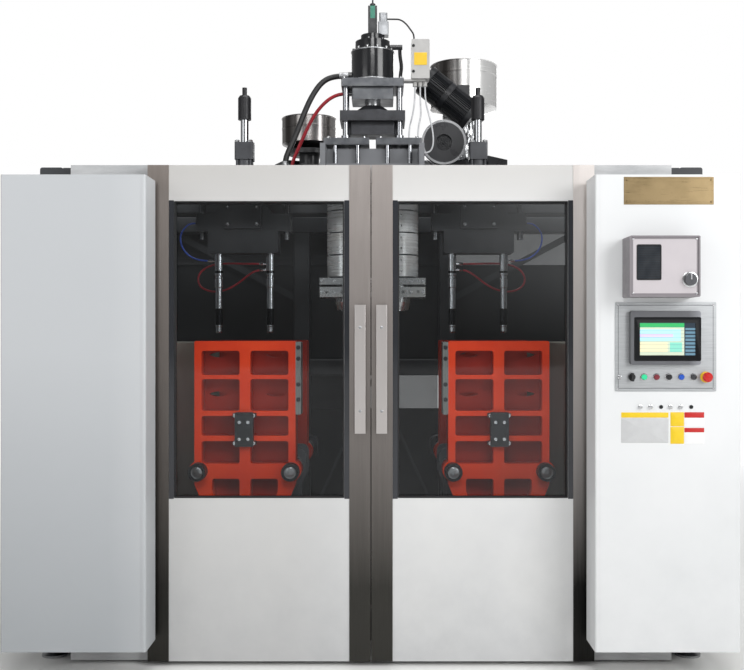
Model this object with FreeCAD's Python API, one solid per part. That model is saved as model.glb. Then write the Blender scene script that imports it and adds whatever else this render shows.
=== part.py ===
import FreeCAD, Part
import math
import os

# Double-station extrusion blow moulding machine. Millimetres, Z up, front towards -Y.
# The origin is on the floor under the middle of the machine's box.

V = FreeCAD.Vector
SIDES = (("left", -1), ("right", 1))

# ---- overall ----
WIDTH = 3000.0
DEPTH = 2356.0
ENCLOSURE_TOP = 2141.0
SHEET = 2.5
FIT = 0.05
SEAT = 0.3

# ---- front: cabinets, rails and doors ----
CABINET_WIDTH = 590.0
CABINET_BOTTOM = 125.0
CABINET_TOP = 2060.0
CABINET_DEPTH = 170.0
CABINET_BEND = 9.0
LEAF_WIDTH = 948.0
LEAF_BOTTOM = 22.0
LEAF_TOP = 2133.0
LEAF_THICK = 40.0
LEAF_BEHIND_CABINET = 30.0
LEAF_MEETING_GAP = 4.0
STILE_WIDTH = 90.0
PANEL_STEP = 3.0
WINDOW_BOTTOM = 716.0
WINDOW_TOP = 1980.0
GLAZING = 5.0
DOOR_STOP_GAP = 5.0
RAIL_DEEP = 60.0
RAIL_HIGH = 66.0
RAIL_WALL = 4.0
RAIL_SLOT = 16.0
RAIL_SPARE = 42.0
RAIL_FLOOR_GAP = 12.0
RAIL_GAP = 10.0
SHOE_INSET = 220.0
SHOE_LENGTH = 60.0
HANDLE_WIDTH = 47.0
HANDLE_BOTTOM = 995.0
HANDLE_TOP = 1537.0
HANDLE_STAND_OFF = 45.0
HANDLE_THICK = 12.0
HANDLE_INSET = 20.0

# ---- frame ----
FOOT_HIGH = 30.0
BASE_BEAM_HIGH = 180.0
COLUMN = 100.0
SIDE_COVER = 55.0
TUBE_CORNER = 10.0
TOP_BEAM_HIGH = 100.0
HEAD_BEAM_HIGH = 160.0
HEAD_BEAM_TOP = 2205.0
HEAD_BEAM_OFFSET = 230.0
REAR_COVER_TOP = 950.0
REAR_BEAM_BOTTOM = 1160.0
REAR_POST_X = 450.0
REAR_GUARD_TOP = 1850.0
REAR_BRACE_LOW = 1645.0
REAR_BRACE_RUN = 820.0
HOUSING_TOP = 1370.0
HOUSING_INNER_X = 925.0
BRACE = 45.0

# ---- clamp stations ----
STATION_X = 590.0
PARTING_BEHIND_DOOR = 800.0
PLATEN_WIDTH = 470.0
PLATEN_TOP = 1382.0
PLATEN_SHOULDER = 715.0
PLATEN_BOTTOM = 392.0
PLATEN_TOE_HALF = 95.0
PLATEN_THICK = 110.0
PLATEN_WEB = 26.0
PLATEN_RIM = 33.0
PLATEN_SPINE = 50.0
SIDE_STRIP = 26.0
SIDE_STRIP_LOW = 1040.0
POCKET_CORNER = 12.0
OPEN_HALF = 300.0
CLAMP_TRAVEL = 170.0
TIE_BAR = 30.0
TIE_X = 214.0
TIE_Z = 778.0
TIE_LOW_Z = 470.0
TIE_BOSS = 47.0
TIE_NUT = 41.0
TIE_NUT_LONG = 58.0
YOKE_THICK = 80.0
YOKE_BEHIND = 250.0
CYLINDER_Z = 676.0
CYLINDER_R = 72.0
CYLINDER_BORE = 60.0
CYLINDER_CAP = 25.0
PISTON_LONG = 30.0
CLAMP_ROD = 35.0
CARRIAGE_HALF = 225.0
CARRIAGE_SLAB = 40.0
CARRIAGE_REACH = 400.0
WALL_OFFSET = 95.0
WALL_THICK = 20.0
WALL_TOP = 850.0
CARRIAGE_RAIL_OFFSET = 300.0
CARRIAGE_RAIL_WIDE = 45.0
CARRIAGE_RAIL_HIGH = 40.0
CARRIAGE_SHOE_HIGH = 68.0
CARRIAGE_SHOE_LONG = 120.0
CARRIAGE_TRAVEL = STATION_X
SHUTTLE_R = 30.0
SHUTTLE_ROD = 12.0
SHUTTLE_Y = -90.0
SHUTTLE_PISTON = 15.0
SHUTTLE_CAP = 20.0
SHUTTLE_SPARE = 35.0
SHUTTLE_LUG = 150.0

# ---- blow units ----
BLOW_SHIFT = -58.0
PIN_PITCH = 260.0
PIN_TIP_Z = 1420.0
PIN_TOP_Z = 1820.0
WING_LOW = 1931.0
WING_TOP = 2017.0
CARRIER_TOP = 2078.0
CARRIER_HALF = 235.0
BLOW_TRAVEL = 95.0
GUIDE_X = 212.0
GUIDE_R = 15.0
STROKE_ROD_R = 20.0
STROKE_BLOCK = 91.0
STROKE_BLOCK_BOTTOM = 2293.0
STROKE_BLOCK_TOP = 2379.0
COLLAR_GAP = 24.0
COLLAR_LONG = 121.0
COLLAR_R = 33.0
ROD_PROUD = 41.0
BRIDGE_THICK = 15.0

# ---- die head ----
DIE_PITCH = 260.0
CORE_R = 88.0
BAND_R = 100.0
BAND_HIGH = 104.0
BAND_GAP = 7.0
BAND_START = 9.0
BANDS = 4
HEAD_LOW = 1693.0
UPPER_PLATE_LOW = 1660.0
LOWER_PLATE_TOP = 1648.0
LOWER_PLATE_LOW = 1598.0
DIE_PLATE_HALF = 265.0
DIE_PLATE_DEEP = 110.0
DIE_BUSH_R = 60.0
DIE_BORE = 42.0
TIP_Z = 1536.0
MANDREL_R = 16.0
HEAD_FLANGE = 24.0
HEAD_BLOCK_LOW = 2246.0
HEAD_BLOCK_TOP = 2340.0
HEAD_BLOCK_FRONT = 70.0
HEAD_BLOCK_DEEP = 190.0
HEAD_BLOCK_HALF = 250.0
DIE_TOP_PLATE_LOW = 2354.0
DIE_TOP_PLATE_TOP = 2388.0
DIE_TOP_PLATE = 228.0
CROSSHEAD_WEB = 62.0
MOVING_PLATE_THICK = 50.0
MOVING_PLATE_HALF = 162.0
CYLINDER_PLATE_LOW = 2644.0
CYLINDER_PLATE_TOP = 2684.0
CYLINDER_PLATE_HALF = 155.0
PILLAR_R = 14.0
PILLAR_X = 134.0
PILLAR_Y = 75.0
SPACER_R = 11.0
SPACER_OFFSET = 56.0
PROGRAM_R = 107.0
PROGRAM_TOP = 2841.0
PROGRAM_BORE = 70.0
PROGRAM_ROD = 40.0
MANDREL_TRAVEL = 12.0

# ---- extruders ----
BARREL_R = 52.0
BARREL_BORE = 30.0
LEFT_BARREL_ANGLE = 25.5
RIGHT_BARREL_ANGLE = 42.5
THROAT_TO_REAR = 509.3
BEARER_TO_REAR = 412.0
BARREL_BAND_R = 66.0
THROAT = 150.0
SCREW_ROOT = 20.0
LEFT_HOPPER_R = 156.0
LEFT_HOPPER_LOW = 177.0
LEFT_HOPPER_HIGH = 176.0
RIGHT_HOPPER_R = 187.0
RIGHT_HOPPER_LOW = 361.0
RIGHT_HOPPER_HIGH = 268.0
HOPPER_WALL = 2.5
GEAR_DROP = 88.0
SCREW_PITCH = 40.0
FLIGHT_THICK = 6.0
BLOWER_X = 365.0
BLOWER_R = 110.0

# ---- controls on the right cabinet ----
PROGRAMMER_DEPTH = 120.0
PROGRAMMER_INSET = 110.0
PROGRAMMER_WIDTH = 278.0
PROGRAMMER_LOW = 1560.0
PROGRAMMER_HIGH = 1801.0
DIAL_R = 23.0
DIAL_THICK = 18.0
DIAL_NIB = 2.0
DIAL_RECESS = 4.0
DIAL_FROM_EDGE = 40.0
DIAL_Z = PROGRAMMER_LOW + 68.0
PANEL_INSET = 80.0
PANEL_WIDTH = 409.0
PANEL_LOW = 1182.0
PANEL_HIGH = 1543.0
PANEL_THICK = 3.0
CONTROL_PITCH = 50.0
CONTROL_Z = PANEL_LOW + 58.0
CONTROL_R = 10.8
CONTROL_HOLE = 11.2
CONTROL_BEHIND = 30.0
BUTTON_TRAVEL = 4.0
BUTTON_PROUD = 7.0
STOP_TRAVEL = 6.0
STOP_PROUD = 10.0

# ---- places worked out from the sizes ----
HALF_WIDTH = WIDTH / 2
COLUMN_X = HALF_WIDTH - SIDE_COVER - COLUMN / 2
DOOR_TRAVEL = HALF_WIDTH - SIDE_COVER - LEAF_MEETING_GAP / 2 - LEAF_WIDTH - DOOR_STOP_GAP
SHOE_OUTER = LEAF_MEETING_GAP / 2 + LEAF_WIDTH - SHOE_INSET + SHOE_LENGTH / 2
RAIL_HALF_LENGTH = SHOE_OUTER + DOOR_TRAVEL + RAIL_SPARE
KNOB_OUT = DIAL_THICK + DIAL_NIB + SEAT - DIAL_RECESS
FRONT_Y = -DEPTH / 2
CABINET_FACE_Y = FRONT_Y + KNOB_OUT + PROGRAMMER_DEPTH
CABINET_BACK_Y = CABINET_FACE_Y + CABINET_DEPTH
DOOR_Y = CABINET_BACK_Y + LEAF_BEHIND_CABINET
LEAF_BACK_Y = DOOR_Y + LEAF_THICK
RAIL_Y = LEAF_BACK_Y + RAIL_GAP
FRAME_FRONT_Y = RAIL_Y + RAIL_DEEP
REAR_COVER_DEEP = 15.0
FRAME_REAR_Y = DEPTH / 2 - REAR_COVER_DEEP
BASE_TOP = FOOT_HIGH + BASE_BEAM_HIGH
PART_Y = DOOR_Y + PARTING_BEHIND_DOOR
CARRIAGE_RAIL_TOP = BASE_TOP + CARRIAGE_RAIL_HIGH
SLAB_LOW = CARRIAGE_RAIL_TOP + 40.0
SLAB_TOP = SLAB_LOW + CARRIAGE_SLAB
FRONT_FRONT_Y = PART_Y - OPEN_HALF - PLATEN_THICK
REAR_BACK_Y = PART_Y + OPEN_HALF + PLATEN_THICK
YOKE_Y = REAR_BACK_Y + YOKE_BEHIND
SHUTTLE_Z = SLAB_LOW - 45.0
COLLAR_BOTTOM = STROKE_BLOCK_TOP + BLOW_TRAVEL + COLLAR_GAP
COLLAR_TOP = COLLAR_BOTTOM + COLLAR_LONG
ROD_TOP = COLLAR_TOP + ROD_PROUD
CROSSHEAD_LOW = DIE_TOP_PLATE_TOP + 2 * MANDREL_TRAVEL
MOVING_PLATE_LOW = CROSSHEAD_LOW + CROSSHEAD_WEB
MOVING_PLATE_TOP = MOVING_PLATE_LOW + MOVING_PLATE_THICK

SHUTTLE_FAR = COLUMN_X + 5.0
SHUTTLE_STROKE = CARRIAGE_TRAVEL + abs(BLOW_SHIFT)
SHUTTLE_NEAR = SHUTTLE_FAR - SHUTTLE_STROKE - SHUTTLE_PISTON - 2 * SHUTTLE_CAP - SHUTTLE_SPARE
HEAD_BACK_Y = PART_Y + HEAD_BLOCK_DEEP
BARREL_Z = (HEAD_BLOCK_LOW + HEAD_BLOCK_TOP) / 2
LEFT_THROAT_RUN = FRAME_REAR_Y - THROAT_TO_REAR - HEAD_BACK_Y
BARREL_LONG = LEFT_THROAT_RUN / math.cos(math.radians(LEFT_BARREL_ANGLE))
GEAR_LOW = BARREL_Z - GEAR_DROP
CABINET_INNER = HALF_WIDTH - CABINET_WIDTH
PROGRAMMER_LEFT = CABINET_INNER + PROGRAMMER_INSET
PROGRAMMER_RIGHT = PROGRAMMER_LEFT + PROGRAMMER_WIDTH
DIAL_X = PROGRAMMER_RIGHT - DIAL_FROM_EDGE
PANEL_LEFT = CABINET_INNER + PANEL_INSET
PANEL_RIGHT = PANEL_LEFT + PANEL_WIDTH

os.makedirs("parts", exist_ok=True)


def save(name, *solids):
    shape = solids[0] if len(solids) == 1 else Part.makeCompound(list(solids))
    shape.exportStep(f"parts/{name}.step")


def box(x0, x1, y0, y1, z0, z1):
    low = V(min(x0, x1), min(y0, y1), min(z0, z1))
    return Part.makeBox(abs(x1 - x0), abs(y1 - y0), abs(z1 - z0), low)


def rod(axis, centre, radius, start, end):
    """A round bar along X, Y or Z; centre gives the other two coordinates in order."""
    a, b = centre
    place = {"x": V(start, a, b), "y": V(a, start, b), "z": V(a, b, start)}[axis]
    way = {"x": V(1, 0, 0), "y": V(0, 1, 0), "z": V(0, 0, 1)}[axis]
    return Part.makeCylinder(radius, end - start, place, way)


def spot(plane, a, b, level):
    return {"xy": V(a, b, level), "xz": V(a, level, b), "yz": V(level, a, b)}[plane]


def outline(plane, points, level, radius=0.0):
    """A closed outline; each corner is rounded by its own third number or by the radius."""
    corners = [spot(plane, p[0], p[1], level) for p in points]
    edges = []
    ends = []
    for i, corner in enumerate(corners):
        before = corners[i - 1] - corner
        after = corners[(i + 1) % len(corners)] - corner
        r = points[i][2] if len(points[i]) > 2 else radius
        if r:
            half = before.getAngle(after) / 2
            before.normalize()
            after.normalize()
            back = r / math.tan(half)
            inward = (before + after).normalize()
            middle = corner + inward * (r / math.sin(half) - r)
            ends.append((corner + before * back, middle, corner + after * back))
        else:
            ends.append((corner, None, corner))
    for i, (start, middle, end) in enumerate(ends):
        if middle is not None:
            edges.append(Part.Arc(start, middle, end).toShape())
        following = ends[(i + 1) % len(ends)][0]
        if (following - end).Length > 1e-6:
            edges.append(Part.LineSegment(end, following).toShape())
    return Part.Wire(edges)


def prism(plane, points, start, end, radius=0.0):
    """An outline drawn in the plane and drawn out square to it from start to end."""
    way = {"xy": V(0, 0, 1), "xz": V(0, 1, 0), "yz": V(1, 0, 0)}[plane]
    face = Part.Face(outline(plane, points, start, radius))
    return face.extrude(way * (end - start))


def rectangle(a0, a1, b0, b1):
    return [(a0, b0), (a1, b0), (a1, b1), (a0, b1)]


def plate(plane, a0, a1, b0, b1, start, end, radius=0.0):
    return prism(plane, rectangle(a0, a1, b0, b1), start, end, radius)


def turned(profile, x, y):
    """A turned piece about the upright axis at x, y; the profile is radius and height."""
    points = [V(x + r, y, z) for r, z in profile]
    wire = Part.makePolygon(points + points[:1])
    return Part.Face(wire).revolve(V(x, y, 0), V(0, 0, 1), 360)


def join(first, *others):
    return first.multiFuse(list(others)).removeSplitter() if others else first


def cut(body, *tools):
    for tool in tools:
        body = body.cut(tool)
    return body


def mirrored(shape):
    return shape.mirror(V(0, 0, 0), V(1, 0, 0))


def handed(shape, side):
    """The right-hand piece as it is, or its mirror image for the left."""
    return shape if side > 0 else mirrored(shape)


def hose(name, points, radius):
    """A hose of straight runs and tangent arcs, each arc 0.45 of its shorter run."""
    corners = [V(*p) for p in points]
    edges = []
    last = corners[0]
    length = 0.0
    radii = []
    for i in range(1, len(corners) - 1):
        before = corners[i - 1] - corners[i]
        after = corners[i + 1] - corners[i]
        run = 0.45 * min(before.Length, after.Length)
        half = before.getAngle(after) / 2
        bend = run * math.tan(half)
        before.normalize()
        after.normalize()
        start = corners[i] + before * run
        end = corners[i] + after * run
        inward = (before + after).normalize()
        middle = corners[i] + inward * (bend / math.sin(half) - bend)
        straight = Part.LineSegment(last, start).toShape()
        arc = Part.Arc(start, middle, end).toShape()
        edges += [straight, arc]
        length += straight.Length + arc.Length
        radii.append(bend)
        last = end
    straight = Part.LineSegment(last, corners[-1]).toShape()
    edges.append(straight)
    length += straight.Length
    path = Part.Wire(edges)
    first_way = corners[1] - corners[0]
    ring = Part.Wire([Part.makeCircle(radius, corners[0], first_way)])
    tube = path.makePipeShell([ring], True, False)
    ratio = tube.Volume / (math.pi * radius**2 * length)
    tightest = min(radii)
    print(f"{name}: length {length:.0f}, smallest radius {tightest:.0f}, volume {ratio:.4f}")
    return tube


# ---- machine frame ----
def tube_y(x, z0, z1, y0, y1):
    half = COLUMN / 2
    return plate("xz", x - half, x + half, z0, z1, y0, y1, TUBE_CORNER)


def tube_x(y, z0, z1, x0, x1):
    half = COLUMN / 2
    return plate("yz", y - half, y + half, z0, z1, x0, x1, TUBE_CORNER)


def column(x, y, z0, z1):
    half = COLUMN / 2
    return plate("xy", x - half, x + half, y - half, y + half, z0, z1, TUBE_CORNER)


def brace(x0, z0, x1, z1, y, side):
    """A flat diagonal bar; its four corners are given by the middles of its upright ends."""
    half = BRACE / 2
    corners = [(x0, z0 - half), (x1, z1 - half), (x1, z1 + half), (x0, z0 + half)]
    return handed(prism("xz", corners, y - 5, y + 5), side)


def machine_frame():
    """Square tubes butted and welded: end frames first, and cross members between them."""
    front = FRAME_FRONT_Y + COLUMN / 2
    rear = FRAME_REAR_Y - COLUMN / 2
    inner = COLUMN_X - COLUMN / 2
    top_low = ENCLOSURE_TOP - TOP_BEAM_HIGH
    beam_low = HEAD_BEAM_TOP - HEAD_BEAM_HIGH
    members = []
    for x in (-COLUMN_X, COLUMN_X):
        members.append(tube_y(x, FOOT_HIGH, BASE_TOP, FRAME_FRONT_Y, FRAME_REAR_Y))
        members.append(tube_y(x, top_low, ENCLOSURE_TOP, FRAME_FRONT_Y, FRAME_REAR_Y))
        for y in (front, PART_Y - HEAD_BEAM_OFFSET, PART_Y + HEAD_BEAM_OFFSET, rear):
            members.append(column(x, y, BASE_TOP, top_low))
    for y in (front, PART_Y - CARRIAGE_RAIL_OFFSET, PART_Y + CARRIAGE_RAIL_OFFSET, rear):
        members.append(tube_x(y, FOOT_HIGH, BASE_TOP, -inner, inner))
    for y in (front, rear):
        members.append(tube_x(y, top_low, ENCLOSURE_TOP, -inner, inner))
    for y in (PART_Y - HEAD_BEAM_OFFSET, PART_Y + HEAD_BEAM_OFFSET):
        members.append(tube_x(y, beam_low, HEAD_BEAM_TOP, -inner, inner))
    bearer_y = FRAME_REAR_Y - BEARER_TO_REAR
    members.append(tube_x(bearer_y, GEAR_LOW - COLUMN, GEAR_LOW, -inner, inner))
    cross_top = REAR_BEAM_BOTTOM + COLUMN
    post_in = REAR_POST_X - COLUMN / 2
    post_out = REAR_POST_X + COLUMN / 2
    for x in (-REAR_POST_X, REAR_POST_X):
        members.append(column(x, rear, BASE_TOP, top_low))
    for x0, x1 in ((-inner, -post_out), (-post_in, post_in), (post_out, inner)):
        members.append(tube_x(rear, REAR_BEAM_BOTTOM, cross_top, x0, x1))
    under_top = box(-inner, inner, rear - 20, rear + 20, BASE_TOP, top_low)
    under_cross = box(-inner, inner, rear - 20, rear + 20, BASE_TOP, REAR_BEAM_BOTTOM)
    rise = REAR_BRACE_RUN / 2
    low_start = BASE_TOP + BRACE
    for side in (-1, 1):
        knee = brace(post_out, REAR_BRACE_LOW, REAR_POST_X + REAR_BRACE_RUN,
                     REAR_BRACE_LOW + rise, rear, side)
        members.append(knee.common(under_top))
        leaning = brace(0, REAR_BEAM_BOTTOM, post_in, low_start, rear, side)
        members.append(leaning.common(under_cross))
    save("machine_frame", *members)


def levelling_feet():
    front = FRAME_FRONT_Y + COLUMN / 2
    rear = FRAME_REAR_Y - COLUMN / 2
    feet = []
    for x in (-COLUMN_X, -STATION_X, STATION_X, COLUMN_X):
        for y in (front, PART_Y, rear) if abs(x) > STATION_X else (front, rear):
            profile = [(0, 0), (55, 0), (55, 9), (22, 15), (22, FOOT_HIGH), (0, FOOT_HIGH)]
            feet.append(turned(profile, x, y))
    save("levelling_feet", *feet)


def side_covers():
    """Double-skinned folded covers down both ends, with stiffening swages outside."""
    covers = []
    for _, side in SIDES:
        outer = HALF_WIDTH
        inner = HALF_WIDTH - SIDE_COVER
        cover = box(inner, outer, CABINET_BACK_Y, DEPTH / 2, CABINET_BOTTOM, CABINET_TOP)
        hollow = box(
            inner + SHEET,
            outer - SHEET,
            CABINET_BACK_Y + SHEET,
            DEPTH / 2 - SHEET,
            CABINET_BOTTOM + SHEET,
            CABINET_TOP - SHEET,
        )
        cover = cover.cut(hollow)
        span = DEPTH / 2 - CABINET_BACK_Y
        bay = span / 3
        tools = []
        for i in range(3):
            start = CABINET_BACK_Y + i * bay + 90
            end = CABINET_BACK_Y + (i + 1) * bay - 90
            for row in range(8):
                z = CABINET_TOP - 180 - row * 42
                tools.append(plate("yz", start, end, z, z + 14, outer - SHEET, outer, 6.9))
        covers.append(handed(cut(cover, Part.makeCompound(tools)), side))
    return covers


def rear_covers():
    """Two folded trays across the back, with an open strip between them."""
    inner = HALF_WIDTH - SIDE_COVER
    low = CABINET_BOTTOM
    tray = box(-inner, inner, FRAME_REAR_Y, DEPTH / 2, low, REAR_COVER_TOP)
    hollow = box(
        -inner + SHEET,
        inner - SHEET,
        FRAME_REAR_Y,
        DEPTH / 2 - SHEET,
        low + SHEET,
        REAR_COVER_TOP - SHEET,
    )
    covers = [tray.cut(hollow)]
    low, high = REAR_BEAM_BOTTOM, REAR_GUARD_TOP
    guard = box(-inner, inner, FRAME_REAR_Y, DEPTH / 2, low, high)
    hollow = box(
        -inner + SHEET,
        inner - SHEET,
        FRAME_REAR_Y,
        DEPTH / 2 - SHEET,
        low + SHEET,
        high - SHEET,
    )
    covers.append(guard.cut(hollow))
    return covers


def side_housings():
    """Sheet housings over the hydraulic tank at the left and the valves at the right."""
    covers = []
    outer = COLUMN_X - COLUMN / 2 - SEAT
    back = FRAME_REAR_Y - COLUMN - SEAT
    front = FRAME_FRONT_Y + COLUMN + SEAT
    for _, side in SIDES:
        points = rectangle(HOUSING_INNER_X, outer, front, back)
        shell = prism("xy", points, BASE_TOP, HOUSING_TOP, 6)
        inside = rectangle(
            HOUSING_INNER_X + SHEET, outer - SHEET, front + SHEET, back - SHEET
        )
        shell = shell.cut(prism("xy", inside, BASE_TOP, HOUSING_TOP - SHEET, 6 - SHEET))
        pass_through = (PART_Y + SHUTTLE_Y, SHUTTLE_Z)
        shell = shell.cut(rod("x", pass_through, SHUTTLE_R + SEAT, HOUSING_INNER_X, outer))
        covers.append(handed(shell, side))
    return covers


def door_rails():
    """Two lipped channels; the slot of the top one looks down, of the bottom one up."""
    wide = RAIL_DEEP / 2
    slot = RAIL_SLOT / 2
    centre = RAIL_Y + wide
    rails = []
    for top, level in ((True, ENCLOSURE_TOP), (False, RAIL_FLOOR_GAP)):
        way = -1 if top else 1
        edge = level + way * RAIL_HIGH
        body = box(
            -RAIL_HALF_LENGTH, RAIL_HALF_LENGTH, RAIL_Y, RAIL_Y + RAIL_DEEP, level, edge
        )
        hollow = box(
            -RAIL_HALF_LENGTH,
            RAIL_HALF_LENGTH,
            RAIL_Y + RAIL_WALL,
            RAIL_Y + RAIL_DEEP - RAIL_WALL,
            level + way * RAIL_WALL,
            edge - way * RAIL_WALL,
        )
        gap = box(
            -RAIL_HALF_LENGTH,
            RAIL_HALF_LENGTH,
            centre - slot,
            centre + slot,
            edge - way * (RAIL_WALL + 1),
            edge,
        )
        rails.append(cut(body, hollow, gap))
    save("door_rails", *rails)


def control_places():
    """The seven control centres in a row across the operator panel."""
    middle = (PANEL_LEFT + PANEL_RIGHT) / 2
    return [middle + (i - 2.76) * CONTROL_PITCH for i in range(7)]


def cabinets():
    """Folded cabinets with rounded front bends, closed behind by a screwed-on back."""
    outer = HALF_WIDTH
    inner = HALF_WIDTH - CABINET_WIDTH
    bend = CABINET_BEND
    face = CABINET_FACE_Y
    back = CABINET_BACK_Y
    for name, side in SIDES:
        ring = [(inner, face, bend), (outer, face, bend), (outer, back, 0), (inner, back, 0)]
        hollow = [
            (inner + SHEET, face + SHEET, bend - SHEET),
            (outer - SHEET, face + SHEET, bend - SHEET),
            (outer - SHEET, back - SHEET, 0),
            (inner + SHEET, back - SHEET, 0),
        ]
        shell = prism("xy", ring, CABINET_BOTTOM, CABINET_TOP)
        inside = prism("xy", hollow, CABINET_BOTTOM + SHEET, CABINET_TOP - SHEET)
        shell = shell.cut(inside)
        flange = 25.0
        far = outer - SIDE_COVER - 5
        mouth_low = CABINET_BOTTOM + flange
        mouth_top = CABINET_TOP - flange
        mouth = box(inner + flange, far, back - SHEET, back, mouth_low, mouth_top)
        shell = shell.cut(mouth)
        door_line = prism(
            "xz",
            rectangle(inner + 18, inner + 19.5, CABINET_BOTTOM, CABINET_TOP),
            face,
            face + 1.2,
        )
        shell = shell.cut(door_line)
        lid = box(
            inner + flange + SEAT,
            far - SEAT,
            back - SHEET,
            back,
            mouth_low + SEAT,
            mouth_top - SEAT,
        )
        if side > 0:
            for x in control_places():
                hole = rod("y", (x, CONTROL_Z), CONTROL_HOLE, face, face + SHEET)
                shell = shell.cut(hole)
        save(f"{name}_cabinet", handed(shell, side), handed(lid, side))


# ---- sliding doors ----
def door_shoes():
    """Nylon slide shoes in both rails, on brackets bent round to the back of the leaf."""
    centre = RAIL_Y + RAIL_DEEP / 2
    inside_half = RAIL_DEEP / 2 - RAIL_WALL - SEAT
    stem = RAIL_SLOT / 2 - 2
    near = LEAF_MEETING_GAP / 2
    pieces = []
    for x in (near + SHOE_INSET, near + LEAF_WIDTH - SHOE_INSET):
        x0, x1 = x - SHOE_LENGTH / 2, x + SHOE_LENGTH / 2
        lip = ENCLOSURE_TOP - RAIL_HIGH
        top = lip + RAIL_WALL + SEAT
        pieces.append(box(x0, x1, centre - inside_half, centre + inside_half, top, top + 40))
        pieces.append(box(x0, x1, centre - stem, centre + stem, lip - 30, top))
        pieces.append(box(x0, x1, LEAF_BACK_Y, centre + stem, lip - 36, lip - 30))
        pieces.append(box(x0, x1, LEAF_BACK_Y, LEAF_BACK_Y + 6, lip - 90, lip - 30))
        low = RAIL_FLOOR_GAP + RAIL_HIGH
        pieces.append(box(x0, x1, centre - stem, centre + stem, low - 30, low + 16))
        pieces.append(box(x0, x1, LEAF_BACK_Y, centre + stem, low + 10, low + 16))
        pieces.append(box(x0, x1, LEAF_BACK_Y, LEAF_BACK_Y + 6, low + 16, low + 70))
    return pieces


def doors():
    near = LEAF_MEETING_GAP / 2
    far = near + LEAF_WIDTH
    inner = near + STILE_WIDTH
    outer = far - STILE_WIDTH
    front = DOOR_Y + PANEL_STEP
    for name, side in SIDES:
        tray = box(inner, outer, front, LEAF_BACK_Y, LEAF_BOTTOM, LEAF_TOP)
        back_open = box(
            inner + SHEET,
            outer - SHEET,
            front + SHEET,
            LEAF_BACK_Y - SHEET,
            LEAF_BOTTOM + SHEET,
            LEAF_TOP - SHEET,
        )
        border = 22.0
        rim = box(
            inner, outer, front, LEAF_BACK_Y, WINDOW_BOTTOM - border, WINDOW_TOP + border
        )
        frame = rim.common(tray)
        tray = join(tray.cut(back_open), frame)
        hole = plate(
            "xz",
            inner + border,
            outer - border,
            WINDOW_BOTTOM,
            WINDOW_TOP,
            front,
            LEAF_BACK_Y,
            4,
        )
        rebate = box(
            inner + border - 10,
            outer - border + 10,
            LEAF_BACK_Y - 12,
            LEAF_BACK_Y,
            WINDOW_BOTTOM - 10,
            WINDOW_TOP + 10,
        )
        tray = cut(tray, hole, rebate)
        tray = join(tray, *door_shoes())
        save(f"{name}_door_panel", handed(tray, side))

        pane = box(
            inner + border - 9,
            outer - border + 9,
            LEAF_BACK_Y - 12,
            LEAF_BACK_Y - 12 + GLAZING,
            WINDOW_BOTTOM - 9,
            WINDOW_TOP + 9,
        )
        save(f"{name}_window", handed(pane, side))

        stiles = []
        for x0, x1 in ((near, inner), (outer, far)):
            post = box(x0, x1, DOOR_Y, LEAF_BACK_Y, LEAF_BOTTOM, LEAF_TOP)
            inside = box(
                x0 + SHEET,
                x1 - SHEET,
                DOOR_Y + SHEET,
                LEAF_BACK_Y - SHEET,
                LEAF_BOTTOM + SHEET,
                LEAF_TOP - SHEET,
            )
            stiles.append(handed(post.cut(inside), side))

        grip_x = near + HANDLE_INSET
        bar_front = DOOR_Y - HANDLE_STAND_OFF
        bar = plate(
            "xy",
            grip_x,
            grip_x + HANDLE_WIDTH,
            bar_front,
            bar_front + HANDLE_THICK,
            HANDLE_BOTTOM,
            HANDLE_TOP,
            3,
        )
        posts = []
        for z in (HANDLE_BOTTOM + 95, HANDLE_TOP - 95):
            middle = grip_x + HANDLE_WIDTH / 2
            posts.append(rod("y", (middle, z), 9, bar_front + HANDLE_THICK, DOOR_Y))
        handle = handed(join(bar, *posts), side)
        save(f"{name}_door_stiles_and_handle", *stiles, handle)


# ---- clamp stations ----
def lens(x, z, wide, high, start, end):
    """A lens-shaped hole between two arcs, drawn out along Y."""
    left = V(x - wide / 2, start, z)
    right = V(x + wide / 2, start, z)
    top = Part.Arc(left, V(x, start, z + high / 2), right).toShape()
    low = Part.Arc(right, V(x, start, z - high / 2), left).toShape()
    return Part.Face(Part.Wire([top, low])).extrude(V(0, end - start, 0))


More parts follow.
